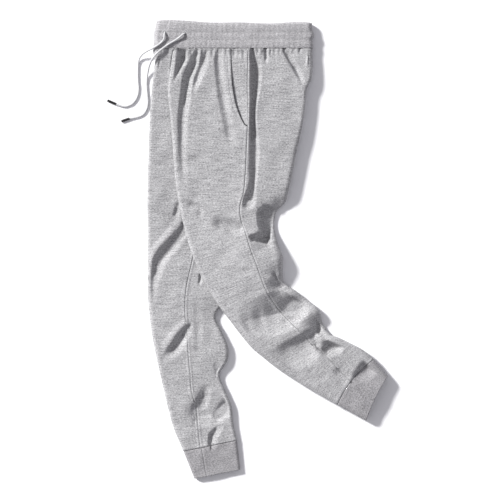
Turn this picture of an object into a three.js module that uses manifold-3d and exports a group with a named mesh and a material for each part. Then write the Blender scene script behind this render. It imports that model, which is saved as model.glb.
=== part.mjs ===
// Jogger sweatpants laid flat on their right side: the left leg lies on top and bends
// to the lower right, the right leg lies under it and runs straight down.
// Millimetres, +Z up. Places on the garment are given as it lies: "across" runs to the
// right from its leftmost edge, "down" runs from the waistband's top edge to the hems.
import * as THREE from 'three';
import { mergeVertices } from 'three/addons/utils/BufferGeometryUtils.js';
import Module from 'manifold-3d';

const wasm = await Module();
wasm.setup();

// Overall size as laid, and the thickness of each cloth.
const OVERALL_WIDTH = 530;
const OVERALL_LENGTH = 1010;
const FLEECE = 2.4;
const BAND_WALL = 4;
const CUFF_WALL = 3;
const SEAM_GAP = 0.3;
const LAYER_GAP = 0.6;

// The top (left) leg. Each row is a line across it from its front edge over the side seam
// to its back edge. Heights are those of the cloth's top at the three places. tuck is how
// far the front edge has rolled under from the front rise, join how far the back edge
// still runs on into the leg below. Where late is over 1, the cloth stays high past its
// side seam and falls to the back edge at the end.
const TOP_LEG = columns(`
  frontA frontD seamA seamD backA backD frontZ seamZ backZ tuck join late
   56     63    223    63   364    63     24    24    24    0    1    1
   54     92    222    92   364    92     24    25    25  0.5  0.7    1
   49    128    221   128 361.5   128   24.5    26    26  0.9  0.3    1
   46    154    221   154   351   154     25    26    26    1    0    1
   49    191    222   191   348   191     25    27    26    1    0    1
   54    242    221   242   340   242     25    27    27    1    0    1
   57    286    219   286   330   286     25    28    27    1    0    1
 60.5    334    217   334   321   334     26    28    27    1    0    1
 65.5    378    213   378   311   378     26    29    26    1    0  1.4
   73    418    205   410   304   402     27  31.5    15    1    0  2.1
   84    466    207   439   285   422     28    34     9    1    0  2.6
   95    504    218   473   280   457     29    36  10.5    1    0  2.4
  108    537    229   508   289   494     30    37    30    1    0    1
  125    574    241   539   299   521     31    38    36    1    0    1
  143    605    251   568   299   550     32    38    28    1    0    1
  163    636    262   595   302   578     33    36    16    1    0    1
  183    662    277   619   328   596     33    36    23    1    0    1
  205    691    295   643   350   614     32    36    17    1    0    1
  231    722    319   668   378   638     31    35    27    1    0    1
  257    744    345   694   388   671     30    34    10    1    0    1
  286    767    365   716   403   692     29    31    24    1    0    1
  310    783    382   727   420   698     28    31    29    1    0    1
  343    804    403   748   447   711     27    31    28    1    0    1
  381    826    425   773   477   727     26    30    27    1    0    1
  419    847    449   795   499   747     25    28    26    1    0    1
  482    882    500   836   530   783     24    27    25    1    0    1
`);
const TOP_CUFF_ROW = TOP_LEG.length - 2;

// Above this row the front edge is a roll of this thickness over the front rise.
const WHOLE_LEG_ROW = 3;
const ROLLED_FRONT = 12;

// The bottom (right) leg. Its rows lie level, the lowest ones tilted. inner is its inseam
// on the upper side, side its side seam underneath; reach is how far beyond this leg's
// right edge the leg on top needs to come down to the floor.
const BOTTOM_LEG = columns(`
  down  left  inner  side right leftZ innerZ rightZ tilt reach
   63   11.7  147    223  364   24    24     24     0    20
   92   16.5  147    222  364   22    20     20     0    20
  128   12.3  147    221  361.5 18    15     16     0    20
  154   10    147    221  350   12.6  11     13.2   0    20
  191    6.6  147    222  346   12.4   9     13     0    20
  242    4    147    221  336   12     8.5   12     0    20
  286    2.9  147    219  317   12     8.5   11     0    22
  334    1    147    217  302   12     8.5   10     0    26
 378   0.2    139    213  288     12    8.5     10     0   34
 422     0    125    200  253   12.5      9     10     0   36
 477   1.5    111    185  231     13     11     12     0   44
 532   0.7     99    165  216     14     14     14     0   60
 581   0.7     88    145  200     15     16     15     0   90
 616     2     84    130  174     16     17     14     0   90
 651     5     84    118  150     17     17     12     0   80
  686    9.5   88    118  164   17     18    16     0    80
  719   15.4   90    122  178   17     18    17     0    80
  750   22     92    126  177   16     17    16     0    80
  781   28.6   95    130  160   16     17    13     0    80
  818   37.4   98    134  173   15     16    15     0    80
  852   46    108    138  186   15     16    15     4    80
  892   58    112    144  190   14     15    14    12    80
  938   80    117.7  150  197.6 13     14    13    24    80
 1000  104    131    162  205   12     13    12    20    80
`);
const BOTTOM_CUFF_ROW = BOTTOM_LEG.length - 2;

// The rise seams between the two halves, from the waistband to the crotch.
const RISE = columns(`
  down front back
   63   62   364
  154   54   340
  191   75   318
  242  100   270
  286  125   205
  319  147   147
`);
const CROTCH_DOWN = 319;
const INSEAM_SHARE = 1 / 3;

// The mouth of the left pocket, a slit from the waistband down into the side seam.
const POCKET_MOUTH = columns(`
  down across
   63   184
  121   186.3
  144   188
  166   191.5
  187   196
  209   203.8
  224.4 211
  234   217.5
`);

// The waistband: its two ends, its top's height, and the rows of stitching that part it
// into three channels.
const BAND = columns(`
  down left right height
   2   20.7 363   21
   6   20   363.5 23.4
  14   18.5 364   24.2
  22   16.5 364.6 24
  26.4 15.6 366   23.5
  31   15   368   24.1
  37   15.2 367.6 24.2
  42.9 15.6 364.3 23.6
  47   15   365   24.4
  55   13.5 366   24.6
  62.4 12   365   23.4
`);

// How far the band's top edge lies below its highest place.
const BAND_TOP = columns(`
  across drop
   12   1.4
   21   0.6
   44  -1.4
   84   0.4
  143   4.6
  202   4.2
  249   6.2
  279   6.6
  311   4.4
  343   3.8
  368   5.6
`);
const BAND_RIPPLE = 0.5;
const BAND_RIPPLES = 16;

// Cord holes in the waistband, either side of the centre front.
const CORD_HOLES = [[38.7, 27.7], [82.5, 29.7]];
const CORD_HOLE_RADIUS = 3.5;
const CORD_RADIUS = 2.1;
const TIP_RADIUS = 2.7;

// Folds pressed into the upper side. Each is a numbered run of points with its depth there
// and its reach to the left and right of that run; a negative depth stands up. The form is
// 1 for straight slopes, 2 for round ones and 4 for steep sides with a level bottom.
const TOP_FOLDS = grouped(columns(`
  fold across down depth left right form
   1   233    60    4    7    3    4
   1   233    78   12    9    7    4
   1   235   100   17    9   17    4
   1   235   121   17    9   19    4
   1   235   154   17    9   14    4
   1   235   176   17    9    9    4
   1   234   198   16    9    7    4
   1   233   220   15    8    8    4
   1   233   242   16    8   10    4
   1   233   286   16    8   14    4
   1   233   330   14    8   11    4
   1   233   352   13    8    8    4
   1   231   374   13   10    8    4
   1   227   392   14   17   14    4
   1   224   404    8   16   14    4
   2    84    62    2    5    5    2
   2    83    71    9   20    7    2
   2    80    86   15   24    9    2
   2    65   114   11   15   10    2
   2    52   142    3    6    6    2
   3   111    62    2    4    5    2
   3   108    78    9   11    9    2
   3   104    96   13   14   12    2
   3    91   126   13   15   13    2
   3    83   169   12   12   14    2
   3    77   218   10   12   14    2
   3    74   286    7   13   14    2
   3    77   374    0   14   14    2
   4   131    65    1    4    5    2
   4   127    82    8   11   10    2
   4   121   102    9   13   12    2
   4   111   128    8   11   12    2
   4   103   154    2    7    9    2
   5   157    64    2    5    6    2
   5   156    86    6   10   12    2
   5   160   121    6   12   14    2
   5   166   165    6   13   15    2
   5   178   230    4   12   15    2
   5   189   292    0   12   15    2
   6   260    60    6    5    5    2
   6   262    80    6    5    5    2
   6   262    98    0    5    5    2
   7   300    60    5    7   10    2
   7   310    80    8    7   10    2
   7   325   105    9    7   10    2
   7   339   130    6    7   10    2
   7   347   146    0    7   10    2
   8   336    60    4    6    6    2
   8   342    76    0    6    6    2
   9    83   409    0   12    9    2
   9   101   407    5   12    9    2
   9   117   414    5   12    9    2
   9   120   440    0   12    9    2
  10   140   440    0   16   18    2
  10   163   450   10   18   22    2
  10   186   458   12   18   26    2
  10   203   460   10   16   22    2
  10   216   466    0   12   14    2
  12   259   428   20   19   24    4
  12   263   445   26   22   26    4
  12   269   462   26   20   24    4
  12   279   480   20   12   14    4
  15   234   482   10   8   12    4
  15   246   484   18   8   22    4
  15   262   488   18   8   18    4
  15   280   494   12   6    8    4
  16   286   566   10    8   16    2
  16   295   570   22   10   24    2
  16   301   574   22   10   22    2
  17   270   567   -2    8    8    2
  17   284   575   -3    8    8    2
  18   200   660    0   34   40    1
  18   226   660    7   40   46    1
  18   254   655   18   46   48    1
  18   284   647   29   46   50    1
  18   310   640   33   42   48    1
  18   332   630   28   30   36    1
  18   348   615   10   18   20    1
  19   306   662    3    9   10    2
  19   325   656    6    9   10    2
  19   341   648    2    9   10    2
  20   250   742    0   40   14    2
  20   280   737    4   50   18    2
  20   310   726   11   60   24    2
  20   341   711   14   60   24    2
  20   360   696   13   34   20    2
  20   371   684    4   16   10    2
  21   377   646    4    8    9    2
  21   379   664   13   10    9    2
  21   380   684   13   10    7    2
  22   374   694   -3    5    5    2
  22   396   694   -4    5    5    2
  22   416   697   -3    5    5    2
  23   380   722   12   12   24    2
  23   397   727   22   18   40    2
  23   413   722   22   18   38    2
  23   426   708   12   14   22    2
  24   408   772    0   12   14    2
  24   424   776    5   12   14    2
  24   438   784    4   12   14    2
  24   448   793    0   10   12    2
  25   452   794    3   14   12    2
  25   466   779    8   28   15    2
  25   483   764   11   30   20    2
  25   498   750    7   24   18    2
`));

// Folds in the bottom leg's upper side, where it shows.
const BOTTOM_FOLDS = grouped(columns(`
  fold across down depth left right form
   1    25    88   4    7    7    2
   1    21   100    6   7    7    2
   1    16   109    2   7    7    2
   2    68   406    3   6   10    2
   2    63   425    5   6   10    2
   2    57   438    0   6   10    2
   3    84   442    4    8   10    2
   3    79   463   11   11   16    2
   3    60   486   11   14   20    2
   3    38   510   11   14   20    2
   3    23   531   11   13   20    2
   3    18   553    9   10   18    2
   3    14   576    3    8   14    2
   3    11   625    0    8   12    2
   4    68   446   -2   12   12    2
   4    48   474   -5   14   14    2
   4    24   500   -6   14   14    2
   4     8   524   -3   12   12    2
   5   116   556    0    4    4    2
   5   117   567    7    4    4    2
   5   114   588    0    4    4    2
   6   110   590    0   10   14    2
   6   110   640    1   10   14    2
   6   112   700    2   10   14    2
   6   113   760    0   10   14    2
   7    90   676    5   10   14    2
   7    75   700   10   14   18    2
   7    59   724    9   14   18    2
   7    40   745    2   12   14    2
   8    84   666   -2   12   12    2
   8    62   690   -4   14   14    2
   8    42   716   -3   14   14    2
   9   102   866    4   20   24    2
   9   114   872   11   26   50    1
   9   130   870   11   28   56    1
   9   148   866    9   28   56    1
   9   165   860    8   26   52    1
   9   182   852    6   20   40    1
  10   152   764    2   10   14    2
  10   158   776    6   10   14    2
  10   164   790    6    9   14    2
  10   167   802    2    8   14    2
  11   152   886    2    9   14    2
  11   160   872    8   13   18    2
  11   171   855    9   15   18    2
  11   180   842    7   12   16    2
  12   156   897    3    8   14    2
  12   149   906    7    8   15    2
  12   142   914    9    8   16    2
  12   140   934    7    8   15    2
  13   104   868    3   10   14    2
  13   111   855    8   14   18    2
  13   122   838    9   16   20    2
  13   130   816    4   14   16    2
`));

// Gathers where the cloth meets the waistband: place across, drop, run down, half width.
const GATHERS = columns(`
  across depth run half
   22    2     12  5
   34    3     16  5
   44    3.5   20  5
   58    3     14  3.5
   72    4     24  5
   86    3     14  3
   98    3.5   24  4.5
  109    2.5   16  3
  122    3.2   26  5
  134    2.5   16  3
  144    3.2   24  4.5
  155    2.4   14  3
  165    3     20  4.5
  175    2.6   18  4
  192    3.4   30  4.5
  203    3     26  4
  213    3.4   36  4
  244    3.6   20  5
  256    2.6   18  3.5
  272    3     22  4
  282    3.2   22  4
  291    2.8   16  3.5
  301    2.4   14  3
  313    3     18  4
  325    2.6   14  3.5
  336    2.4   14  3
  346    3     18  4
  356    4     24  5
`);
const GATHER_SHARE_AT_SEAM = 0.35;
const GATHER_OPENS = 9;
const GATHERED_EXTRA = 1.2;

const colour = {
  fleece: 0xb9b8bb,
  rib: 0xb3b2b5,
  cord: 0xc6c5c7,
  metal: 0x3b3b3d,
};

// A table in words: the first line names the columns, each later line is a row.
function columns(text) {
  const lines = text.trim().split('\n').map((line) => line.trim().split(/\s+/));
  const names = lines[0];
  return lines.slice(1).map((cells) => Object.fromEntries(
    names.map((name, k) => [name, Number(cells[k])])));
}

function grouped(rows) {
  return [...new Set(rows.map((row) => row.fold))].map((number) => rows.filter((row) => row.fold === number));
}

const clamp = (x, low, high) => Math.min(high, Math.max(low, x));
const mix = (a, b, t) => a + (b - a) * t;
const smooth = (t) => { const c = clamp(t, 0, 1); return c * c * (3 - 2 * c); };

// The table's row at a place between its rows, on a smooth curve through them.
function rowAt(table, place) {
  const last = table.length - 1;
  const i = clamp(Math.floor(place), 0, last - 1);
  const t = place - i;
  const [p, q, r, s] = [i - 1, i, i + 1, i + 2].map((k) => table[clamp(k, 0, last)]);
  const row = {};
  for (const name of Object.keys(q)) {
    const bend = 2 * p[name] - 5 * q[name] + 4 * r[name] - s[name];
    const twist = 3 * (q[name] - r[name]) + s[name] - p[name];
    row[name] = q[name] + 0.5 * t * (r[name] - p[name] + t * (bend + t * twist));
  }
  return row;
}

// The place in a table where one of its rising columns has a given value.
function placeOf(table, name, value) {
  let low = 0;
  let high = table.length - 1;
  for (let step = 0; step < 30; step += 1) {
    const middle = (low + high) / 2;
    if (rowAt(table, middle)[name] < value) low = middle;
    else high = middle;
  }
  return (low + high) / 2;
}

// How deep the folds press the cloth at a point.
function pressed(folds, across, down) {
  let total = 0;
  for (const points of folds) {
    const { form } = points[0];
    let nearest = Infinity;
    let far = 1;
    let depth = 0;
    for (let k = 1; k < points.length; k += 1) {
      const [a, b] = [points[k - 1], points[k]];
      const [ux, uy] = [b.across - a.across, b.down - a.down];
      const t = clamp(((across - a.across) * ux + (down - a.down) * uy) / (ux * ux + uy * uy), 0, 1);
      const [dx, dy] = [across - a.across - t * ux, down - a.down - t * uy];
      const side = ux * dy - uy * dx > 0 ? 'left' : 'right';
      const away = Math.hypot(dx, dy);
      if (away < nearest) {
        nearest = away;
        far = Math.min(1, away / mix(a[side], b[side], t));
        depth = mix(a.depth, b.depth, smooth(t));
      }
    }
    total += depth * (1 - far ** form) ** Math.min(form, 2);
  }
  return total;
}

// Gathers start shallow at the waistband's seam, are deepest a little below it and fade.
function gathered(across, down) {
  const below = down - TOP_LEG[0].frontD;
  const opening = mix(GATHER_SHARE_AT_SEAM, 1, smooth(below / GATHER_OPENS));
  let total = 0;
  for (const gather of GATHERS) {
    const near = 1 - ((across - gather.across) / gather.half) ** 2;
    const fade = 1 - below / gather.run;
    if (near > 0 && fade > 0) total += gather.depth * near * near * smooth(fade);
  }
  return total * opening;
}

// The bottom leg's upper side, as the leg on top finds it: level with the leg, then
// falling to the floor beyond its right edge.
function bedHeight(across, down) {
  const row = rowAt(BOTTOM_LEG, placeOf(BOTTOM_LEG, 'down', down));
  const edge = bedEdge(row);
  const height = bottomLevel(row, clamp(across, row.left, edge));
  return height * (1 - smooth((across - edge) / row.reach));
}

function bedEdge(row) {
  return row.right - row.rightZ * 0.3;
}

function bottomLevel(row, across) {
  const t = (across - row.left) / (row.inner - row.left);
  if (t < 1) return mix(row.leftZ, row.innerZ, smooth(t));
  return mix(row.innerZ, row.rightZ, smooth((across - row.inner) / (row.right - row.inner)));
}

// One line across the top leg, with the loops of its two edges worked out.
function topRow(place) {
  const row = rowAt(TOP_LEG, place);
  const width = Math.hypot(row.backA - row.frontA, row.backD - row.frontD);
  const dir = [(row.backA - row.frontA) / width, (row.backD - row.frontD) / width];
  const seamT = ((row.seamA - row.frontA) * dir[0] + (row.seamD - row.frontD) * dir[1]) / width;
  const at = (t) => {
    const f = (t - seamT) * (t - 1) / seamT;
    const s = t * (t - 1) / (seamT * (seamT - 1));
    const b = t * (t - seamT) / (1 - seamT);
    return [f * row.frontA + s * row.seamA + b * row.backA,
      f * row.frontD + s * row.seamD + b * row.backD];
  };
  const under = (t) => bedHeight(...at(t)) + LAYER_GAP;
  const front = { radius: ROLLED_FRONT / 2, under: row.frontZ - ROLLED_FRONT };
  const back = { radius: row.backZ / 2, under: 0 };
  for (let step = 0; step < 8; step += 1) {
    if (place >= WHOLE_LEG_ROW) front.under = under(front.radius / width);
    back.under = under(1 - back.radius / width) * (1 - row.join);
    front.radius = (row.frontZ - front.under) / 2;
    back.radius = (row.backZ - back.under) / 2;
  }
  const frontT = front.radius / width;
  const backT = 1 - back.radius / width;
  return { ...row, width, at, seamT, under, front, back, frontT, backT };
}

// The height at which the front rise joins the two halves.
function stripHeight(row) {
  return mix(row.frontZ, row.front.under - LAYER_GAP, row.tuck);
}

function topHeight(row, t) {
  const [across, down] = row.at(t);
  const past = clamp((t - row.seamT) / (row.backT - row.seamT), 0, 1);
  const level = t < row.seamT
    ? mix(row.frontZ, row.seamZ, smooth((t - row.frontT) / (row.seamT - row.frontT)))
    : mix(row.seamZ, row.backZ, smooth(past ** row.late));
  const edge = smooth((t - row.frontT) / 0.06) * smooth((row.backT - t) / 0.06);
  const drop = (pressed(TOP_FOLDS, across, down) + gathered(across, down)) * edge;
  const open = smooth((CROTCH_DOWN + 6 - down) / 12);
  const rise = rowAt(RISE, placeOf(RISE, 'down', clamp(down, 63, CROTCH_DOWN)));
  const clearOfRise = smooth((across - rise.front - 4) / 14) * smooth((rise.back - 4 - across) / 14);
  const closedFloor = row.under(t) + 2 * FLEECE + 0.8;
  const floor = mix(closedFloor, 2 * FLEECE + 1.5, open * clearOfRise);
  const wanted = level - drop;
  const spare = 3;
  if (wanted > floor + spare) return wanted;
  return Math.max(floor, floor + spare * Math.exp((wanted - floor - spare) / spare) * 0.98);
}

// A point on the top leg's ring. turn runs from the inseam underneath (0) to the front
// edge (1 to 2), over the top to the side seam (3), the back edge (4 to 5) and back (6).
function topPoint(row, turn, inset) {
  const { front, back } = row;
  const lap = (t, z) => [...row.at(t), z];
  if (turn < 1) {
    const t = mix(INSEAM_SHARE, row.frontT, turn);
    return lap(t, row.under(t) + inset);
  }
  if (turn < 2) {
    const angle = (turn - 1) * Math.PI;
    const reach = front.radius - (front.radius - inset) * Math.sin(angle);
    return lap(reach / row.width, front.under + front.radius - (front.radius - inset) * Math.cos(angle));
  }
  if (turn <= 3) {
    const t = mix(row.frontT, row.seamT, turn - 2);
    return lap(t, topHeight(row, t) - inset);
  }
  if (turn <= 4) {
    const t = mix(row.seamT, row.backT, turn - 3);
    return lap(t, topHeight(row, t) - inset);
  }
  if (turn < 5) {
    const angle = (turn - 4) * Math.PI;
    const reach = back.radius - (back.radius - inset) * Math.sin(angle);
    return lap(1 - reach / row.width, back.under + back.radius + (back.radius - inset) * Math.cos(angle));
  }
  const t = mix(row.backT, INSEAM_SHARE, turn - 5);
  return lap(t, row.under(t) + inset);
}

// Where the top leg's ring begins and ends: at the rises above the crotch.
function topEnds(row) {
  const down = row.frontD;
  if (down >= CROTCH_DOWN) return { start: 0, end: 6 };
  const rise = rowAt(RISE, placeOf(RISE, 'down', down));
  const share = (across) => (across - row.frontA) / (row.backA - row.frontA);
  let start = 1 - (share(rise.front) - row.frontT) / (INSEAM_SHARE - row.frontT);
  if (row.tuck < 1) {
    const lift = (row.front.under + row.front.radius - stripHeight(row)) / row.front.radius;
    start = 1 + Math.acos(clamp(lift, -1, 1)) / Math.PI;
  }
  let end = 5 + (row.backT - share(rise.back)) / (row.backT - INSEAM_SHARE);
  const meet = backMeeting(row);
  if (meet) end = 4 + Math.acos(clamp(meet.top, -1, 1)) / Math.PI;
  return { start: clamp(start, 0, 2), end: clamp(end, 4, 6) };
}

// Near the waist the two halves meet in the back edge's loop.
function backMeeting(row) {
  const below = rowAt(BOTTOM_LEG, placeOf(BOTTOM_LEG, 'down', row.frontD));
  if (row.join < 0.01 || row.back.under >= below.rightZ) return null;
  const height = (row.back.under + below.rightZ) / 2;
  const radius = below.rightZ / 2;
  const top = (height - row.back.under - row.back.radius) / row.back.radius;
  const bottom = (height - radius) / radius;
  const slack = (radiusOf, rise) => radiusOf * (1 - Math.sqrt(Math.max(0, 1 - rise * rise)));
  const right = row.backA - slack(row.back.radius, top) + slack(radius, bottom);
  return { top, bottom, right };
}

// One line across the bottom leg.
function bottomRow(place) {
  const row = rowAt(BOTTOM_LEG, place);
  const width = row.right - row.left;
  let ends = { front: 3, back: 3 };
  if (row.down < CROTCH_DOWN) {
    const rise = rowAt(RISE, placeOf(RISE, 'down', row.down));
    const above = topRow(placeOf(TOP_LEG, 'frontD', row.down));
    const meet = backMeeting(above);
    let frontRise = rise.front;
    if (above.tuck < 1) {
      const [across] = topPoint(above, topEnds(above).start, 0);
      frontRise = across - SEAM_GAP - 0.2;
      row.leftZ = stripHeight(above) - SEAM_GAP;
      row.innerZ = row.leftZ;
    }
    if (meet) row.right = meet.right;
    const radius = row.rightZ / 2;
    const leftLoop = row.left + row.leftZ / 2;
    const frontTurn = 2 + (frontRise - leftLoop) / (row.inner - leftLoop);
    let backTurn = 3 + (rise.back - row.inner) / (row.right - radius - row.inner);
    if (meet) backTurn = 4 + Math.acos(clamp(meet.bottom, -1, 1)) / Math.PI;
    ends = { front: clamp(frontTurn, 2, 3), back: clamp(backTurn, 3, 5) };
  }
  return { ...row, width, ends };
}

// A point on the bottom leg's ring. turn runs from the side seam underneath (0) to the
// left edge (1 to 2), over the upper side to the inseam (3), the right edge (4 to 5)
// and back to the side seam (6).
function bottomPoint(row, turn, inset) {
  const leftRadius = row.leftZ / 2;
  const rightRadius = row.rightZ / 2;
  const leftLoop = row.left + leftRadius;
  const rightLoop = row.right - rightRadius;
  const place = (across, z) => {
    const share = (across - row.left) / (row.right - row.left);
    return [across, row.down + row.tilt * (0.5 - share), z];
  };
  const upper = (across) => {
    const edge = smooth((across - leftLoop + 4) / 8) * smooth((rightLoop + 4 - across) / 8);
    const down = place(across, 0)[1];
    const drop = (pressed(BOTTOM_FOLDS, across, down) + gathered(across, down)) * edge;
    const floor = 2 * FLEECE + 1;
    return place(across, Math.max(floor, bottomLevel(row, across) - drop) - inset);
  };
  if (turn < 1) return place(mix(row.side, leftLoop, turn), inset);
  if (turn < 2) {
    const angle = (turn - 1) * Math.PI;
    return place(leftLoop - (leftRadius - inset) * Math.sin(angle),
      leftRadius - (leftRadius - inset) * Math.cos(angle));
  }
  if (turn <= 3) return upper(mix(leftLoop, row.inner, turn - 2));
  if (turn <= 4) return upper(mix(row.inner, rightLoop, turn - 3));
  if (turn < 5) {
    const angle = (turn - 4) * Math.PI;
    return place(rightLoop + (rightRadius - inset) * Math.sin(angle),
      rightRadius + (rightRadius - inset) * Math.cos(angle));
  }
  return place(mix(rightLoop, row.side, turn - 5), inset);
}

const toWorld = ([across, down, z]) => [across - OVERALL_WIDTH / 2, OVERALL_LENGTH / 2 - down, z];

// A wall of cloth. rows is a list of { outer, inner }, two runs of { at, point }, where at
// grows along the run. A closed wall runs round and meets itself, and may leave out the
// inner run of a row between the first and the last.
function wall(rows, closed = false) {
  const points = [];
  const faces = [];
  const index = rows.map(({ outer, inner }) => ({
    outer: outer.map(({ at, point }) => ({ at, id: points.push(point) - 1 })),
    inner: inner && inner.map(({ at, point }) => ({ at, id: points.push(point) - 1 })),
  }));
  const lined = index.filter(({ inner }) => inner);
  const zip = (one, two, flip) => {
    const a = closed ? [...one, { at: one[0].at + 1, id: one[0].id }] : one;
    const b = closed ? [...two, { at: two[0].at + 1, id: two[0].id }] : two;
    let i = 0;
    let j = 0;
    while (i + 1 < a.length || j + 1 < b.length) {
      const stepA = j + 1 >= b.length || (i + 1 < a.length && a[i + 1].at <= b[j + 1].at);
      const face = stepA ? [a[i].id, b[j].id, a[i + 1].id] : [a[i].id, b[j].id, b[j + 1].id];
      if (stepA) i += 1;
      else j += 1;
      faces.push(flip ? face.reverse() : face);
    }
  };
  for (let k = 0; k + 1 < index.length; k += 1) zip(index[k].outer, index[k + 1].outer, false);
  for (let k = 0; k + 1 < lined.length; k += 1) zip(lined[k].inner, lined[k + 1].inner, true);
  zip(index[0].outer, index[0].inner, true);
  zip(index.at(-1).outer, index.at(-1).inner, false);
  if (!closed) {
    for (let k = 0; k + 1 < index.length; k += 1) {
      for (const [end, flip] of [[0, false], [-1, true]]) {
        const corners = [index[k].outer.at(end).id, index[k].inner.at(end).id,
          index[k + 1].inner.at(end).id, index[k + 1].outer.at(end).id];
        const pair = [[corners[0], corners[1], corners[2]], [corners[0], corners[2], corners[3]]];
        pair.forEach((face) => faces.push(flip ? face.reverse() : face));
      }
    }
  }
  const geometry = new THREE.BufferGeometry();
  geometry.setAttribute('position', new THREE.Float32BufferAttribute(points.flatMap(toWorld), 3));
  geometry.setIndex(faces.flat());
  return volumeOf(geometry) < 0 ? turnedOut(geometry) : geometry;
}

function volumeOf(geometry) {
  const p = geometry.attributes.position;
  const [a, b, c] = [new THREE.Vector3(), new THREE.Vector3(), new THREE.Vector3()];
  let sum = 0;
  for (let k = 0; k < geometry.index.count; k += 3) {
    a.fromBufferAttribute(p, geometry.index.getX(k));
    b.fromBufferAttribute(p, geometry.index.getX(k + 1));
    c.fromBufferAttribute(p, geometry.index.getX(k + 2));
    sum += a.dot(b.cross(c)) / 6;
  }
  return sum;
}

function turnedOut(geometry) {
  const index = [...geometry.index.array];
  for (let k = 0; k < index.length; k += 3) [index[k + 1], index[k + 2]] = [index[k + 2], index[k + 1]];
  geometry.setIndex(index);
  return geometry;
}

// Stops between two places: even steps, with the ends kept.
function stops(from, to, count) {
  return Array.from({ length: count + 1 }, (_, k) => mix(from, to, k / count));
}

// Turns of a ring that lie between two ends, with the ends themselves.
function turnsBetween(list, start, end) {
  const clear = 0.02;
  return [start, ...list.filter((turn) => turn > start + clear && turn < end - clear), end];
}

const EDGE_STEPS = 5;
const edgeTurns = (from) => stops(from, from + 1, EDGE_STEPS);
const PLEAT_TURNS = [3.02, 3.05, 3.085, 3.12, 3.16, 3.21, 3.28, 3.37, 3.46, 3.55, 3.64, 3.73, 3.82, 3.91];
const FRONT_TURNS = [...edgeTurns(1), ...stops(2.05, 2.95, 18)];
const FRONT_FINE = [...edgeTurns(1), ...stops(2.022, 2.978, 42)];
const BACK_TURNS = [...PLEAT_TURNS, ...edgeTurns(4)];
const BACK_FINE = [...stops(3.02, 3.2, 8), ...stops(3.225, 3.97, 30), ...edgeTurns(4)];
const GATHER_PLACES = [0, 0.25, 0.55];
const FINE_UNTIL = 0.8;

// Places along the top leg for its rows, and along the bottom leg for its rows.
const TOP_PLACES = [...GATHER_PLACES, ...stops(1, 9, 11), ...stops(9.5, TOP_CUFF_ROW, 26)];
const BOTTOM_PLACES = [...GATHER_PLACES, ...stops(1, 9, 9), ...stops(9.8, BOTTOM_CUFF_ROW, 19)];

// The turns of the top leg's underside where it bends over the bottom leg's edge.
function bendTurns(row) {
  const beyond = (t) => {
    const [across, down] = row.at(t);
    const below = rowAt(BOTTOM_LEG, placeOf(BOTTOM_LEG, 'down', down));
    return (across - bedEdge(below)) / below.reach;
  };
  const turns = [];
  for (const share of [0, 0.2, 0.5, 1]) {
    let [low, high] = [row.frontT, row.backT];
    if (beyond(low) > share || beyond(high) < share) continue;
    for (let step = 0; step < 24; step += 1) {
      const middle = (low + high) / 2;
      if (beyond(middle) < share) low = middle;
      else high = middle;
    }
    turns.push(low > INSEAM_SHARE
      ? 5 + (row.backT - low) / (row.backT - INSEAM_SHARE)
      : 1 - (low - row.frontT) / (INSEAM_SHARE - row.frontT));
  }
  return turns;
}

function underTurns(row, from) {
  const even = [from + 1 / 3, from + 2 / 3];
  const bends = bendTurns(row).filter((turn) => turn > from && turn < from + 1);
  const spare = even.filter((turn) => bends.every((bend) => Math.abs(bend - turn) > 0.08));
  return [...bends, ...spare].sort((a, b) => a - b);
}

// Half of the seam gap, as a share of the ring's turn on the upper side.
function trim(row, from, to) {
  return SEAM_GAP / 2 / (row.width * Math.abs(to - from));
}

function panelRows(places, rowFor, runFor, pointFor, thickness) {
  return places.map((place) => {
    const row = rowFor(place);
    const turns = runFor(row, place);
    const dense = turns.map((turn) => ({ at: turn, point: pointFor(row, turn, 0) }));
    if (place >= FINE_UNTIL) {
      return { outer: dense, inner: turns.map((turn) => ({ at: turn, point: pointFor(row, turn, thickness) })) };
    }
    const plain = turns.filter((_, k) => k % 2 === 0 || k === turns.length - 1);
    const inset = thickness + GATHERED_EXTRA;
    return { outer: dense, inner: plain.map((turn) => ({ at: turn, point: pointFor(row, turn, inset) })) };
  });
}

function pocketTurn(row) {
  const last = POCKET_MOUTH.at(-1).down;
  if (row.frontD > last) return null;
  const mouth = rowAt(POCKET_MOUTH, placeOf(POCKET_MOUTH, 'down', row.frontD)).across;
  const t = (mouth - row.frontA) / (row.backA - row.frontA);
  return 2 + (t - row.frontT) / (row.seamT - row.frontT);
}

function frontPanel() {
  return wall(panelRows(TOP_PLACES, topRow, (row, place) => {
    const gap = trim(row, row.frontT, row.seamT);
    const mouth = pocketTurn(row);
    const end = (mouth ?? 3) - gap;
    const list = [...underTurns(row, 0), ...(place < FINE_UNTIL ? FRONT_FINE : FRONT_TURNS)];
    return turnsBetween(list, topEnds(row).start + (row.frontD < CROTCH_DOWN ? 0 : gap), end);
  }, topPoint, FLEECE));
}

function backPanel() {
  return wall(panelRows(TOP_PLACES, topRow, (row, place) => {
    const gap = trim(row, row.seamT, row.backT);
    const list = [...(place < FINE_UNTIL ? BACK_FINE : BACK_TURNS), ...underTurns(row, 5)];
    return turnsBetween(list, 3 + gap, topEnds(row).end - gap);
  }, topPoint, FLEECE));
}

function pocketFacing() {
  const places = TOP_PLACES.filter((place) => pocketTurn(topRow(place)) !== null);
  return wall(panelRows(places, topRow, (row) => {
    const gap = trim(row, row.frontT, row.seamT);
    return stops(pocketTurn(row) + gap, 3 - gap, 6);
  }, topPoint, FLEECE));
}

const UPPER_LEFT = stops(2.08, 2.92, 11);
const UPPER_RIGHT = stops(3.14, 3.86, 5);
const UNDER_LEFT = stops(0, 0.75, 3);
const UNDER_RIGHT = stops(5.25, 6, 3);

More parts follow.
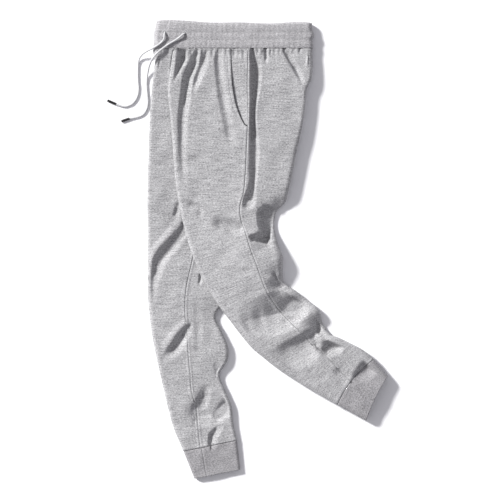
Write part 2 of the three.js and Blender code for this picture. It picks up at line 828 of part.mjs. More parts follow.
function innerFrontPanel() {
  const fine = stops(2.04, 2.96, 23);
  return wall(panelRows(BOTTOM_PLACES, bottomRow, (row, place) => {
    const gap = trim(row, 0, 1);
    const upper = place < WHOLE_LEG_ROW ? fine : UPPER_LEFT;
    const end = row.down < CROTCH_DOWN ? row.ends.front : 3;
    return turnsBetween([...UNDER_LEFT, ...edgeTurns(1), ...upper], gap, end - gap);
  }, bottomPoint, FLEECE));
}

function innerBackPanel() {
  return wall(panelRows(BOTTOM_PLACES, bottomRow, (row) => {
    const gap = trim(row, 0, 1);
    const start = row.down < CROTCH_DOWN ? row.ends.back : 3;
    return turnsBetween([...UPPER_RIGHT, ...edgeTurns(4), ...UNDER_RIGHT], start + gap, 6 - gap);
  }, bottomPoint, FLEECE));
}

// A ribbed cuff: a whole ring between the leg's cuff seam and the hem.
function cuff(lastRow, rowFor, pointFor, seamShare) {
  const turns = [0, 1 / 3, 2 / 3, ...edgeTurns(1).slice(0, -1), ...stops(2, 2.875, 7),
    ...stops(3, 3.8, 4), ...edgeTurns(4).slice(0, -1), 5, 5 + 1 / 3, 5 + 2 / 3];
  const places = stops(lastRow + seamShare, lastRow + 1, 4);
  return wall(places.map((place) => {
    const row = rowFor(place);
    const run = (inset) => turns.map((turn) => ({ at: turn / 6, point: pointFor(row, turn, inset) }));
    return { outer: run(0), inner: run(CUFF_WALL).filter((_, k) => k % 2 === 0) };
  }), true);
}

// The waistband's ring: along the underside, the left end, the top and the right end.
function bandPoint(row, turn, inset) {
  const radius = row.height / 2;
  const leftLoop = row.left + radius;
  const rightLoop = row.right - radius;
  const wave = (across) => rowAt(BAND_TOP, placeOf(BAND_TOP, 'across', across)).drop
    * clamp(1 - row.down / 22, 0, 1);
  const place = (across, z) => [across, row.down + wave(across), z];
  if (turn < 1) return place(mix(rightLoop, leftLoop, turn), inset);
  if (turn < 2) {
    const angle = (turn - 1) * Math.PI;
    return place(leftLoop - (radius - inset) * Math.sin(angle), radius - (radius - inset) * Math.cos(angle));
  }
  if (turn < 3) {
    const across = mix(leftLoop, rightLoop, turn - 2);
    const edge = smooth((turn - 2) * 12) * smooth((3 - turn) * 12);
    const ripple = BAND_RIPPLE * edge * Math.sin(turn * BAND_RIPPLES * 2 * Math.PI + 2 * Math.sin(turn * 9));
    const low = inset > 0 ? BAND_RIPPLE : -ripple;
    return place(across, row.height - inset - low);
  }
  const angle = (turn - 3) * Math.PI;
  return place(rightLoop + (radius - inset) * Math.sin(angle), radius + (radius - inset) * Math.cos(angle));
}

function waistband() {
  const turns = [...stops(0, 0.8, 4), ...edgeTurns(1).slice(0, -1), ...stops(2, 3, 64).slice(0, -1),
    ...edgeTurns(3).slice(0, -1)];
  const plain = [...stops(0, 0.8, 4), ...edgeTurns(1).slice(0, -1), ...stops(2, 3, 12).slice(0, -1),
    ...edgeTurns(3).slice(0, -1)];
  const rows = BAND.map((row, k) => {
    const run = (list, inset) => list.map((turn) => ({ at: turn / 4, point: bandPoint(row, turn, inset) }));
    const lined = k % 2 === 0;
    return { outer: run(turns, 0), inner: lined ? run(plain, BAND_WALL) : null };
  });
  let solid = solidOf(wall(rows, true));
  for (const [across, down] of CORD_HOLES) {
    const drill = new THREE.CylinderGeometry(CORD_HOLE_RADIUS, CORD_HOLE_RADIUS, 14, 12);
    drill.rotateX(Math.PI / 2);
    drill.translate(...toWorld([across, down, 24]));
    solid = solid.subtract(solidOf(drill));
  }
  return geometryOf(solid);
}

function solidOf(geometry) {
  const bare = new THREE.BufferGeometry();
  bare.setAttribute('position', geometry.attributes.position.clone());
  bare.setIndex(geometry.index.clone());
  const merged = mergeVertices(bare);
  return new wasm.Manifold(new wasm.Mesh({
    numProp: 3,
    vertProperties: new Float32Array(merged.attributes.position.array),
    triVerts: new Uint32Array(merged.index.array),
  }));
}

function geometryOf(solid) {
  const mesh = solid.getMesh();
  const geometry = new THREE.BufferGeometry();
  geometry.setAttribute('position', new THREE.BufferAttribute(new Float32Array(mesh.vertProperties), 3));
  geometry.setIndex(new THREE.BufferAttribute(new Uint32Array(mesh.triVerts), 1));
  return geometry;
}

// The two free ends of the drawcord: out of a hole, over the left end of the band, down
// to the floor. Each point is [across, down, height of the cord's middle].
const CORDS = {
  left: {
    route: [[82.5, 29.7, 20], [82.5, 29.8, 25.5], [79, 32.6, 28.6], [66, 42.9, 28.4], [50.6, 52, 28.2],
      [35.2, 62.7, 28], [22, 73.7, 26.5], [12.5, 84.7, 22], [5.5, 98, 14], [1.6, 113, 7], [-0.7, 127.6, 3],
      [-1.3, 141, 2.2], [-0.6, 155, 2.2], [0.8, 169.4, 2.2], [1.2, 182.6, 2.2], [-2, 196, 2.2],
      [-10.4, 207.6, 2.2], [-22, 212.7, 2.2], [-38.6, 215.8, 2.7]],
    tip: [[-39, 215.9, 2.7], [-57.2, 222, 2.7]],
  },
  right: {
    route: [[38.7, 27.7, 20], [38.7, 27.9, 25.5], [38.6, 32, 28.6], [37.6, 42, 28.2], [31.5, 50, 28],
      [22, 57, 26.8], [11, 63, 23], [-1, 68.6, 16.5], [-11.5, 75.5, 10], [-17.6, 84, 5], [-20, 95, 2.6],
      [-20.6, 110, 2.2], [-20.6, 131, 2.2], [-19, 151, 2.2], [-22.4, 168, 2.2], [-34.3, 184, 2.2],
      [-50, 189.4, 2.2], [-68, 184.6, 2.7]],
    tip: [[-68.4, 184.4, 2.7], [-88, 176, 2.7]],
  },
};

function tube(points, radius, sides, steps) {
  const curve = new THREE.CatmullRomCurve3(points.map((p) => new THREE.Vector3(...toWorld(p))));
  const section = new THREE.Shape(stops(0, 2 * Math.PI, sides).slice(0, -1).map((angle) =>
    new THREE.Vector2(radius * Math.cos(angle), radius * Math.sin(angle))));
  return new THREE.ExtrudeGeometry(section, { steps, bevelEnabled: false, extrudePath: curve });
}

const garment = new THREE.Group();

function add(name, geometry, color, metalness = 0, roughness = 0.95) {
  const mesh = new THREE.Mesh(geometry, new THREE.MeshStandardMaterial({ color, metalness, roughness }));
  mesh.name = name;
  garment.add(mesh);
}

add('waistband', waistband(), colour.rib);
add('left_front_panel', frontPanel(), colour.fleece);
add('left_back_panel', backPanel(), colour.fleece);
add('left_pocket_facing', pocketFacing(), colour.fleece);
add('right_front_panel', innerFrontPanel(), colour.fleece);
add('right_back_panel', innerBackPanel(), colour.fleece);
add('left_cuff', cuff(TOP_CUFF_ROW, topRow, topPoint, SEAM_GAP / 63), colour.rib);
add('right_cuff', cuff(BOTTOM_CUFF_ROW, bottomRow, bottomPoint, SEAM_GAP / 62), colour.rib);
for (const [side, { route, tip }] of Object.entries(CORDS)) {
  add(`${side}_drawcord`, tube(route, CORD_RADIUS, 8, 30), colour.cord);
  add(`${side}_cord_tip`, tube(tip, TIP_RADIUS, 10, 2), colour.metal, 0.8, 0.4);
}

export default garment;
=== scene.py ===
# %% [markdown]
# Jogger sweatpants laid flat
#
# This lesson dresses a plain model of fleece joggers that lie on their right side: the
# left leg lies on top and bends at the knee, the right leg runs straight down under it.
# The plain model gives every size and place. Each piece of cloth is made again here
# with a denser surface, finer folds, stitching and a knitted finish, in metres.

# %% Load the plain model
import math

import bpy
import numpy as np
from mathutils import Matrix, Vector


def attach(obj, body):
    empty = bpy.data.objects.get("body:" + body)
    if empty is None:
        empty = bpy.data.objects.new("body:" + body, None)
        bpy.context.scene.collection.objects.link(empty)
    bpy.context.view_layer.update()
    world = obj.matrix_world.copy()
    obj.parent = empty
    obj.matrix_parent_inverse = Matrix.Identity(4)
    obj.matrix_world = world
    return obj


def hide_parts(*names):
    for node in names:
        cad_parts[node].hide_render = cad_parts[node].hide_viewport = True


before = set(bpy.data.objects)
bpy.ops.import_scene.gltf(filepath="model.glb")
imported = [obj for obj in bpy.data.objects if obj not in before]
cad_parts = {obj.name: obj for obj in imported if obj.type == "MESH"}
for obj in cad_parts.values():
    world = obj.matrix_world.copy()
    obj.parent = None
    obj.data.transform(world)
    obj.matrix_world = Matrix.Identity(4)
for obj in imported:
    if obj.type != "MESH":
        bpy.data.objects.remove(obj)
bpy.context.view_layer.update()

# %% [markdown]
# The sizes are written in millimetres as the garment lies: "across" runs right from its
# leftmost edge and "down" runs from the top of the waistband to the hems. They are the
# same tables that the plain model is built from, so both surfaces agree.

# %% Tables of the two legs
OVERALL_WIDTH = 530
OVERALL_LENGTH = 1010
FLEECE = 2.4
SEAM_GAP = 0.3
LAYER_GAP = 0.6

TOP_LEG = """
  frontA frontD seamA seamD backA backD frontZ seamZ backZ tuck join late
   56     63    223    63   364    63     24    24    24    0    1    1
   54     92    222    92   364    92     24    25    25  0.5  0.7    1
   49    128    221   128 361.5   128   24.5    26    26  0.9  0.3    1
   46    154    221   154   351   154     25    26    26    1    0    1
   49    191    222   191   348   191     25    27    26    1    0    1
   54    242    221   242   340   242     25    27    27    1    0    1
   57    286    219   286   330   286     25    28    27    1    0    1
 60.5    334    217   334   321   334     26    28    27    1    0    1
 65.5    378    213   378   311   378     26    29    26    1    0  1.4
   73    418    205   410   304   402     27  31.5    15    1    0  2.1
   84    466    207   439   285   422     28    34     9    1    0  2.6
   95    504    218   473   280   457     29    36  10.5    1    0  2.4
  108    537    229   508   289   494     30    37    30    1    0    1
  125    574    241   539   299   521     31    38    36    1    0    1
  143    605    251   568   299   550     32    38    28    1    0    1
  163    636    262   595   302   578     33    36    16    1    0    1
  183    662    277   619   328   596     33    36    23    1    0    1
  205    691    295   643   350   614     32    36    17    1    0    1
  231    722    319   668   378   638     31    35    27    1    0    1
  257    744    345   694   388   671     30    34    10    1    0    1
  286    767    365   716   403   692     29    31    24    1    0    1
  310    783    382   727   420   698     28    31    29    1    0    1
  343    804    403   748   447   711     27    31    28    1    0    1
  381    826    425   773   477   727     26    30    27    1    0    1
  419    847    449   795   499   747     25    28    26    1    0    1
  482    882    500   836   530   783     24    27    25    1    0    1
"""

BOTTOM_LEG = """
  down  left  inner  side right leftZ innerZ rightZ tilt reach
   63   11.7  147    223  364   24    24     24     0    20
   92   16.5  147    222  364   22    20     20     0    20
  128   12.3  147    221  361.5 18    15     16     0    20
  154   10    147    221  350   12.6  11     13.2   0    20
  191    6.6  147    222  346   12.4   9     13     0    20
  242    4    147    221  336   12     8.5   12     0    20
  286    2.9  147    219  317   12     8.5   11     0    22
  334    1    147    217  302   12     8.5   10     0    26
 378   0.2    139    213  288     12    8.5     10     0   34
 422     0    125    200  253   12.5      9     10     0   36
 477   1.5    111    185  231     13     11     12     0   44
 532   0.7     99    165  216     14     14     14     0   60
 581   0.7     88    145  200     15     16     15     0   90
 616     2     84    130  174     16     17     14     0   90
 651     5     84    118  150     17     17     12     0   80
  686    9.5   88    118  164   17     18    16     0    80
  719   15.4   90    122  178   17     18    17     0    80
  750   22     92    126  177   16     17    16     0    80
  781   28.6   95    130  160   16     17    13     0    80
  818   37.4   98    134  173   15     16    15     0    80
  852   46    108    138  186   15     16    15     4    80
  892   58    112    144  190   14     15    14    12    80
  938   80    117.7  150  197.6 13     14    13    24    80
 1000  104    131    162  205   12     13    12    20    80
"""

RISE = """
  down front back
   63   62   364
  154   54   340
  191   75   318
  242  100   270
  286  125   205
  319  147   147
"""

POCKET_MOUTH = """
  down across
   63   184
  121   186.3
  144   188
  166   191.5
  187   196
  209   203.8
  224.4 211
  234   217.5
"""

TOP_CUFF_ROW = 24
BOTTOM_CUFF_ROW = 22
WHOLE_LEG_ROW = 3
ROLLED_FRONT = 12
CROTCH_DOWN = 319
INSEAM_SHARE = 1 / 3

# %% [markdown]
# A table becomes a track: a smooth curve through its rows, which can be asked for any
# place between them, or for the place where one of its columns has a given value.

# %% Smooth tracks through the tables
TRACK_STEPS = 40


def smooth(t):
    c = np.clip(t, 0, 1)
    return c * c * (3 - 2 * c)


def blend(a, b, t):
    return a + (b - a) * t


class Track:
    def __init__(self, text):
        lines = [line.split() for line in text.strip().splitlines()]
        rows = np.array([[float(cell) for cell in line] for line in lines[1:]])
        self.last = len(rows) - 1
        self.places = np.linspace(0, self.last, self.last * TRACK_STEPS + 1)
        self.columns = {name: self.curve(rows[:, k]) for k, name in enumerate(lines[0])}

    def curve(self, values):
        i = np.clip(self.places.astype(int), 0, self.last - 1)
        t = self.places - i
        p, q, r, s = (values[np.clip(i + k, 0, self.last)] for k in (-1, 0, 1, 2))
        bend = 2 * p - 5 * q + 4 * r - s
        twist = 3 * (q - r) + s - p
        return q + 0.5 * t * (r - p + t * (bend + t * twist))

    def at(self, place):
        return {name: np.interp(place, self.places, curve) for name, curve in self.columns.items()}

    def where(self, name, value):
        return np.interp(value, self.columns[name], self.places)

    def along(self, name, value):
        return self.at(self.where(name, value))


top_leg = Track(TOP_LEG)
bottom_leg = Track(BOTTOM_LEG)
rise_line = Track(RISE)
pocket_mouth = Track(POCKET_MOUTH)
print("rows of the top leg:", top_leg.last + 1, "and of the bottom leg:", bottom_leg.last + 1)

# %% [markdown]
# Folds are drawn as lines on the garment. Each point of a line holds its depth, and the
# fold reaches a given width to its left and right, so a crease can be steep on one side
# and soft on the other. The large ones are the plain model's, the fine ones are added.

# %% Folds and gathers
TOP_FOLDS = """
  fold across down depth left right form
   1   233    60    4    7    3    4
   1   233    78   12    9    7    4
   1   235   100   17    9   17    4
   1   235   121   17    9   19    4
   1   235   154   17    9   14    4
   1   235   176   17    9    9    4
   1   234   198   16    9    7    4
   1   233   220   15    8    8    4
   1   233   242   16    8   10    4
   1   233   286   16    8   14    4
   1   233   330   14    8   11    4
   1   233   352   13    8    8    4
   1   231   374   13   10    8    4
   1   227   392   14   17   14    4
   1   224   404    8   16   14    4
   2    84    62    2    5    5    2
   2    83    71    9   20    7    2
   2    80    86   15   24    9    2
   2    65   114   11   15   10    2
   2    52   142    3    6    6    2
   3   111    62    2    4    5    2
   3   108    78    9   11    9    2
   3   104    96   13   14   12    2
   3    91   126   13   15   13    2
   3    83   169   12   12   14    2
   3    77   218   10   12   14    2
   3    74   286    7   13   14    2
   3    77   374    0   14   14    2
   4   131    65    1    4    5    2
   4   127    82    8   11   10    2
   4   121   102    9   13   12    2
   4   111   128    8   11   12    2
   4   103   154    2    7    9    2
   5   157    64    2    5    6    2
   5   156    86    6   10   12    2
   5   160   121    6   12   14    2
   5   166   165    6   13   15    2
   5   178   230    4   12   15    2
   5   189   292    0   12   15    2
   6   260    60    6    5    5    2
   6   262    80    6    5    5    2
   6   262    98    0    5    5    2
   7   300    60    5    7   10    2
   7   310    80    8    7   10    2
   7   325   105    9    7   10    2
   7   339   130    6    7   10    2
   7   347   146    0    7   10    2
   8   336    60    4    6    6    2
   8   342    76    0    6    6    2
   9    83   409    0   12    9    2
   9   101   407    5   12    9    2
   9   117   414    5   12    9    2
   9   120   440    0   12    9    2
  10   140   440    0   16   18    2
  10   163   450   10   18   22    2
  10   186   458   12   18   26    2
  10   203   460   10   16   22    2
  10   216   466    0   12   14    2
  12   259   428   20   19   24    4
  12   263   445   26   22   26    4
  12   269   462   26   20   24    4
  12   279   480   20   12   14    4
  15   234   482   10   8   12    4
  15   246   484   18   8   22    4
  15   262   488   18   8   18    4
  15   280   494   12   6    8    4
  16   286   566   10    8   16    2
  16   295   570   22   10   24    2
  16   301   574   22   10   22    2
  17   270   567   -2    8    8    2
  17   284   575   -3    8    8    2
  18   200   660    0   34   40    1
  18   226   660    7   40   46    1
  18   254   655   18   46   48    1
  18   284   647   29   46   50    1
  18   310   640   33   42   48    1
  18   332   630   28   30   36    1
  18   348   615   10   18   20    1
  19   306   662    3    9   10    2
  19   325   656    6    9   10    2
  19   341   648    2    9   10    2
  20   250   742    0   40   14    2
  20   280   737    4   50   18    2
  20   310   726   11   60   24    2
  20   341   711   14   60   24    2
  20   360   696   13   34   20    2
  20   371   684    4   16   10    2
  21   377   646    4    8    9    2
  21   379   664   13   10    9    2
  21   380   684   13   10    7    2
  22   374   694   -3    5    5    2
  22   396   694   -4    5    5    2
  22   416   697   -3    5    5    2
  23   380   722   12   12   24    2
  23   397   727   22   18   40    2
  23   413   722   22   18   38    2
  23   426   708   12   14   22    2
  24   408   772    0   12   14    2
  24   424   776    5   12   14    2
  24   438   784    4   12   14    2
  24   448   793    0   10   12    2
  25   452   794    3   14   12    2
  25   466   779    8   28   15    2
  25   483   764   11   30   20    2
  25   498   750    7   24   18    2
"""

BOTTOM_FOLDS = """
  fold across down depth left right form
   1    25    88   4    7    7    2
   1    21   100    6   7    7    2
   1    16   109    2   7    7    2
   2    68   406    3   6   10    2
   2    63   425    5   6   10    2
   2    57   438    0   6   10    2
   3    84   442    4    8   10    2
   3    79   463   11   11   16    2
   3    60   486   11   14   20    2
   3    38   510   11   14   20    2
   3    23   531   11   13   20    2
   3    18   553    9   10   18    2
   3    14   576    3    8   14    2
   3    11   625    0    8   12    2
   4    68   446   -2   12   12    2
   4    48   474   -5   14   14    2
   4    24   500   -6   14   14    2
   4     8   524   -3   12   12    2
   5   116   556    0    4    4    2
   5   117   567    7    4    4    2
   5   114   588    0    4    4    2
   6   110   590    0   10   14    2
   6   110   640    1   10   14    2
   6   112   700    2   10   14    2
   6   113   760    0   10   14    2
   7    90   676    5   10   14    2
   7    75   700   10   14   18    2
   7    59   724    9   14   18    2
   7    40   745    2   12   14    2
   8    84   666   -2   12   12    2
   8    62   690   -4   14   14    2
   8    42   716   -3   14   14    2
   9   102   866    4   20   24    2
   9   114   872   11   26   50    1
   9   130   870   11   28   56    1
   9   148   866    9   28   56    1
   9   165   860    8   26   52    1
   9   182   852    6   20   40    1
  10   152   764    2   10   14    2
  10   158   776    6   10   14    2
  10   164   790    6    9   14    2
  10   167   802    2    8   14    2
  11   152   886    2    9   14    2
  11   160   872    8   13   18    2
  11   171   855    9   15   18    2
  11   180   842    7   12   16    2
  12   156   897    3    8   14    2
  12   149   906    7    8   15    2
  12   142   914    9    8   16    2
  12   140   934    7    8   15    2
  13   104   868    3   10   14    2
  13   111   855    8   14   18    2
  13   122   838    9   16   20    2
  13   130   816    4   14   16    2
"""

GATHERS = """
  across depth run half
   22    2     12  5
   34    3     16  5
   44    3.5   20  5
   58    3     14  3.5
   72    4     24  5
   86    3     14  3
   98    3.5   24  4.5
  109    2.5   16  3
  122    3.2   26  5
  134    2.5   16  3
  144    3.2   24  4.5
  155    2.4   14  3
  165    3     20  4.5
  175    2.6   18  4
  192    3.4   30  4.5
  203    3     26  4
  213    3.4   36  4
  244    3.6   20  5
  256    2.6   18  3.5
  272    3     22  4
  282    3.2   22  4
  291    2.8   16  3.5
  301    2.4   14  3
  313    3     18  4
  325    2.6   14  3.5
  336    2.4   14  3
  346    3     18  4
  356    4     24  5
"""
BAND_END = 63


def table_rows(text):
    return [[float(cell) for cell in line.split()] for line in text.strip().splitlines()[1:]]


def grouped(text):
    rows = table_rows(text)
    return [[row[1:] for row in rows if row[0] == number] for number in sorted({row[0] for row in rows})]


gather_rows = table_rows(GATHERS)
top_folds = grouped(TOP_FOLDS)
bottom_folds = grouped(BOTTOM_FOLDS)


def pressed(folds, across, down):
    total = np.zeros(np.broadcast(across, down).shape)
    for points in folds:
        nearest = np.full(total.shape, 1e9)
        depth, far = np.zeros(total.shape), np.ones(total.shape)
        for (ax, ay, az, a_left, a_right, form), (bx, by, bz, b_left, b_right, _) in zip(points, points[1:]):
            ux, uy = bx - ax, by - ay
            t = np.clip(((across - ax) * ux + (down - ay) * uy) / (ux * ux + uy * uy), 0, 1)
            dx, dy = across - ax - t * ux, down - ay - t * uy
            away = np.hypot(dx, dy)
            on_left = ux * dy - uy * dx > 0
            reach = np.where(on_left, blend(a_left, b_left, t), blend(a_right, b_right, t))
            closer = away < nearest
            nearest = np.where(closer, away, nearest)
            far = np.where(closer, away / reach, far)
            depth = np.where(closer, blend(az, bz, smooth(t)), depth)
        total += depth * (1 - np.minimum(far, 1) ** form) ** min(form, 2)
    return total


GATHER_SHARE_AT_SEAM = 0.35
GATHER_OPENS = 9


def gathered(across, down):
    below = down - BAND_END
    total = np.zeros(np.broadcast(across, down).shape)
    for place, depth, run, half in gather_rows:
        near = np.clip(1 - ((across - place) / half) ** 2, 0, 1)
        total += depth * near * near * smooth(1 - below / run)
    return total * blend(GATHER_SHARE_AT_SEAM, 1, smooth(below / GATHER_OPENS))


print("folds drawn:", len(top_folds) + len(bottom_folds), "and gathers:", len(gather_rows))

# %% [markdown]
# The leg on top rests on the leg below, so its underside follows that leg's upper side
# and falls to the floor past its edge.

# %% The bed under the top leg
def bottom_level(row, across):
    left = blend(row["leftZ"], row["innerZ"], smooth((across - row["left"]) / (row["inner"] - row["left"])))
    right = blend(row["innerZ"], row["rightZ"], smooth((across - row["inner"]) / (row["right"] - row["inner"])))
    return np.where(across < row["inner"], left, right)


def bed_height(across, down):
    row = bottom_leg.along("down", down)
    edge = row["right"] - row["rightZ"] * 0.3
    height = bottom_level(row, np.clip(across, row["left"], edge))
    return height * (1 - smooth((across - edge) / row["reach"]))


print("bed under the thigh, mm:", round(float(bed_height(120, 400)), 1))

# %% [markdown]
# Each leg is a flattened tube. A place on its ring is a turn from 0 to 6: along the
# underside, round the left edge, over the top and round the right edge.

# %% Rings of the top leg
class TopRow:
    def __init__(self, place):
        self.__dict__.update({name: float(value) for name, value in top_leg.at(place).items()})
        self.place = place
        self.width = math.hypot(self.backA - self.frontA, self.backD - self.frontD)
        along = (self.seamA - self.frontA) * (self.backA - self.frontA)
        along += (self.seamD - self.frontD) * (self.backD - self.frontD)
        self.seam_t = along / self.width**2
        self.front_r, self.back_r = ROLLED_FRONT / 2, self.backZ / 2
        self.front_under = self.frontZ - ROLLED_FRONT
        for _ in range(8):
            if place >= WHOLE_LEG_ROW:
                self.front_under = float(self.under(self.front_r / self.width))
            self.back_under = float(self.under(1 - self.back_r / self.width)) * (1 - self.join)
            self.front_r = (self.frontZ - self.front_under) / 2
            self.back_r = (self.backZ - self.back_under) / 2
        self.front_t = self.front_r / self.width
        self.back_t = 1 - self.back_r / self.width
        self.start, self.end = self.ends()

    def at(self, t):
        f = (t - self.seam_t) * (t - 1) / self.seam_t
        s = t * (t - 1) / (self.seam_t * (self.seam_t - 1))
        b = t * (t - self.seam_t) / (1 - self.seam_t)
        across = f * self.frontA + s * self.seamA + b * self.backA
        return across, f * self.frontD + s * self.seamD + b * self.backD

    def under(self, t):
        return bed_height(*self.at(t)) + LAYER_GAP

    def share(self, across):
        return (across - self.frontA) / (self.backA - self.frontA)

    def strip_height(self):
        return blend(self.frontZ, self.front_under - LAYER_GAP, self.tuck)

    def meeting(self):
        below = bottom_leg.along("down", self.frontD)
        if self.join < 0.01 or self.back_under >= below["rightZ"]:
            return None
        height, radius = (self.back_under + below["rightZ"]) / 2, below["rightZ"] / 2
        top = (height - self.back_under - self.back_r) / self.back_r
        low = (height - radius) / radius
        slack = [r * (1 - math.sqrt(max(0, 1 - rise * rise))) for r, rise in ((self.back_r, top), (radius, low))]
        return top, low, self.backA - slack[0] + slack[1]

    def ends(self):
        if self.frontD >= CROTCH_DOWN:
            return 0, 6
        rise = rise_line.along("down", self.frontD)
        start = 1 - (self.share(rise["front"]) - self.front_t) / (INSEAM_SHARE - self.front_t)
        if self.tuck < 1:
            lift = (self.front_under + self.front_r - self.strip_height()) / self.front_r
            start = 1 + math.acos(np.clip(lift, -1, 1)) / math.pi
        end = 5 + (self.back_t - self.share(rise["back"])) / (self.back_t - INSEAM_SHARE)
        meet = self.meeting()
        if meet:
            end = 4 + math.acos(np.clip(meet[0], -1, 1)) / math.pi
        return float(np.clip(start, 0, 2)), float(np.clip(end, 4, 6))

    def top(self, t, extra):
        across, down = self.at(t)
        near = blend(self.frontZ, self.seamZ, smooth((t - self.front_t) / (self.seam_t - self.front_t)))
        past = np.clip((t - self.seam_t) / (self.back_t - self.seam_t), 0, 1)
        far = blend(self.seamZ, self.backZ, smooth(past**self.late))
        level = np.where(t < self.seam_t, near, far)
        edge = smooth((t - self.front_t) / 0.06) * smooth((self.back_t - t) / 0.06)
        drop = (pressed(top_folds, across, down) + gathered(across, down)) * edge
        drop = drop + extra(across, down) * smooth((t - self.front_t) / 0.1) * smooth((self.back_t - t) / 0.1)
        rise = rise_line.along("down", np.clip(down, BAND_END, CROTCH_DOWN))
        clear = smooth((across - rise["front"] - 4) / 14) * smooth((rise["back"] - 4 - across) / 14)
        lapped = self.under(t) + 2 * FLEECE + 0.8
        floor = blend(lapped, 2 * FLEECE + 1.5, smooth((CROTCH_DOWN + 6 - down) / 12) * clear)
        wanted, spare = level - drop, 3
        eased = np.maximum(floor, floor + spare * np.exp(np.minimum(wanted - floor - spare, 0) / spare) * 0.98)
        return np.where(wanted > floor + spare, wanted, eased)

    def points(self, turn, extra):
        f_turn, b_turn = (turn - 1) * math.pi, (turn - 4) * math.pi
        f_reach = self.front_r * (1 - np.sin(f_turn))
        b_reach = self.back_r * (1 - np.sin(b_turn))
        parts = [turn < 1, turn < 2, turn <= 3, turn <= 4, turn < 5]
        t = np.select(parts, [
            blend(INSEAM_SHARE, self.front_t, turn), f_reach / self.width,
            blend(self.front_t, self.seam_t, turn - 2), blend(self.seam_t, self.back_t, turn - 3),
            1 - b_reach / self.width], blend(self.back_t, INSEAM_SHARE, turn - 5))
        under, top = self.under(t), self.top(t, extra)
        z = np.select(parts, [under, self.front_under + self.front_r * (1 - np.cos(f_turn)), top, top,
                              self.back_under + self.back_r * (1 + np.cos(b_turn))], under)
        across, down = self.at(t)
        return np.stack([across, down, z], axis=-1)


knee = TopRow(13)
print("top leg at the knee, mm wide:", round(knee.width), "front edge roll:", round(2 * knee.front_r, 1))

# %% [markdown]
# The bottom leg's rings are the same idea on level rows. Above the crotch both legs
# share one tube, so this half stops at the front and back rise seams.

# %% Rings of the bottom leg
class BottomRow:
    def __init__(self, place):
        self.row = {name: float(value) for name, value in bottom_leg.at(place).items()}
        row = self.row
        self.front_end, self.back_start = 3.0, 3.0
        if row["down"] < CROTCH_DOWN:
            rise = rise_line.along("down", row["down"])
            above = TopRow(float(top_leg.where("frontD", row["down"])))
            meet, front_rise = above.meeting(), rise["front"]
            if above.tuck < 1:
                start = above.points(np.array([above.start]), no_extra)[0]
                front_rise = start[0] - SEAM_GAP - 0.2
                row["leftZ"] = row["innerZ"] = above.strip_height() - SEAM_GAP
            if meet:
                row["right"] = meet[2]
            left_loop = row["left"] + row["leftZ"] / 2
            right_loop = row["right"] - row["rightZ"] / 2
            self.front_end = 2 + (front_rise - left_loop) / (row["inner"] - left_loop)
            self.back_start = 3 + (rise["back"] - row["inner"]) / (right_loop - row["inner"])
            if meet:
                self.back_start = 4 + math.acos(np.clip(meet[1], -1, 1)) / math.pi
            self.front_end = float(np.clip(self.front_end, 2, 3))
            self.back_start = float(np.clip(self.back_start, 3, 5))

    def points(self, turn, extra):
        row = self.row
        left_r, right_r = row["leftZ"] / 2, row["rightZ"] / 2
        left_loop, right_loop = row["left"] + left_r, row["right"] - right_r
        l_turn, r_turn = (turn - 1) * math.pi, (turn - 4) * math.pi
        parts = [turn < 1, turn < 2, turn <= 3, turn <= 4, turn < 5]
        across = np.select(parts, [
            blend(row["side"], left_loop, turn), left_loop - left_r * np.sin(l_turn),
            blend(left_loop, row["inner"], turn - 2), blend(row["inner"], right_loop, turn - 3),
            right_loop + right_r * np.sin(r_turn)], blend(right_loop, row["side"], turn - 5))
        share = (across - row["left"]) / (row["right"] - row["left"])
        down = row["down"] + row["tilt"] * (0.5 - share)
        edge = smooth((across - left_loop + 4) / 8) * smooth((right_loop + 4 - across) / 8)
        soft = smooth((across - left_loop) / 14) * smooth((right_loop - across) / 14)
        drop = (pressed(bottom_folds, across, down) + gathered(across, down)) * edge
        upper = np.maximum(2 * FLEECE + 1, bottom_level(row, across) - drop - extra(across, down) * soft)
        z = np.select(parts, [0 * turn, left_r * (1 - np.cos(l_turn)), upper, upper,
                              right_r * (1 + np.cos(r_turn))], 0 * turn)
        return np.stack([across, down, z], axis=-1)


def no_extra(across, down):
    return 0 * across


shin = BottomRow(15)
print("bottom leg at the shin, mm wide:", round(shin.row["right"] - shin.row["left"]))

# %% [markdown]
# Fleece is never quite smooth where it lies: shallow rumples a few centimetres long
# cover it. They come from a few crossed waves with seeded directions, so that every run
# gives the same cloth.

# %% Small rumples
rng = np.random.default_rng(7)
WAVES = [(rng.uniform(0, math.pi), rng.uniform(26, 90), rng.uniform(0, 6.28)) for _ in range(14)]
RUMPLE = 0.62


def rumples(across, down):
    total = 0 * across
    for heading, length, phase in WAVES:
        bend = 0.9 * np.sin((across * math.sin(heading * 3) + down * math.cos(heading * 5)) / 70 + phase)
        along = (across * math.cos(heading) + down * math.sin(heading)) * 2 * math.pi / length
        total = total + np.sin(along + bend + phase)
    return RUMPLE * total / math.sqrt(len(WAVES))


FINE_GATHERS = [(rng.uniform(14, 362), rng.uniform(-1.5, 1.5), rng.uniform(9, 30), rng.uniform(2.4, 4.6))
                for _ in range(90)]
PUFF = 1.0
PUFF_RUN = 14


def front_detail(across, down):
    total = rumples(across, down) * smooth((down - BAND_END + 10) / 40)
    total = total - PUFF * smooth(1 - (down - BAND_END) / PUFF_RUN)
    for place, depth, run, width in FINE_GATHERS:
        near = np.clip(1 - ((across - place) / width) ** 2, 0, 1)
        total = total + depth * near * near * smooth(1 - (down - BAND_END) / run)
    return total


print("waves in the rumples:", len(WAVES), "and fine gathers:", len(FINE_GATHERS))

# %% [markdown]
# A panel is a grid of points: one row for each few millimetres of length, with points
# spread evenly round its part of the ring. The grid gets UVs in metres of cloth, for
# the knit, and is thickened inwards to the cloth's real thickness.

# %% Turn grids of points into cloth
DENSE = 240


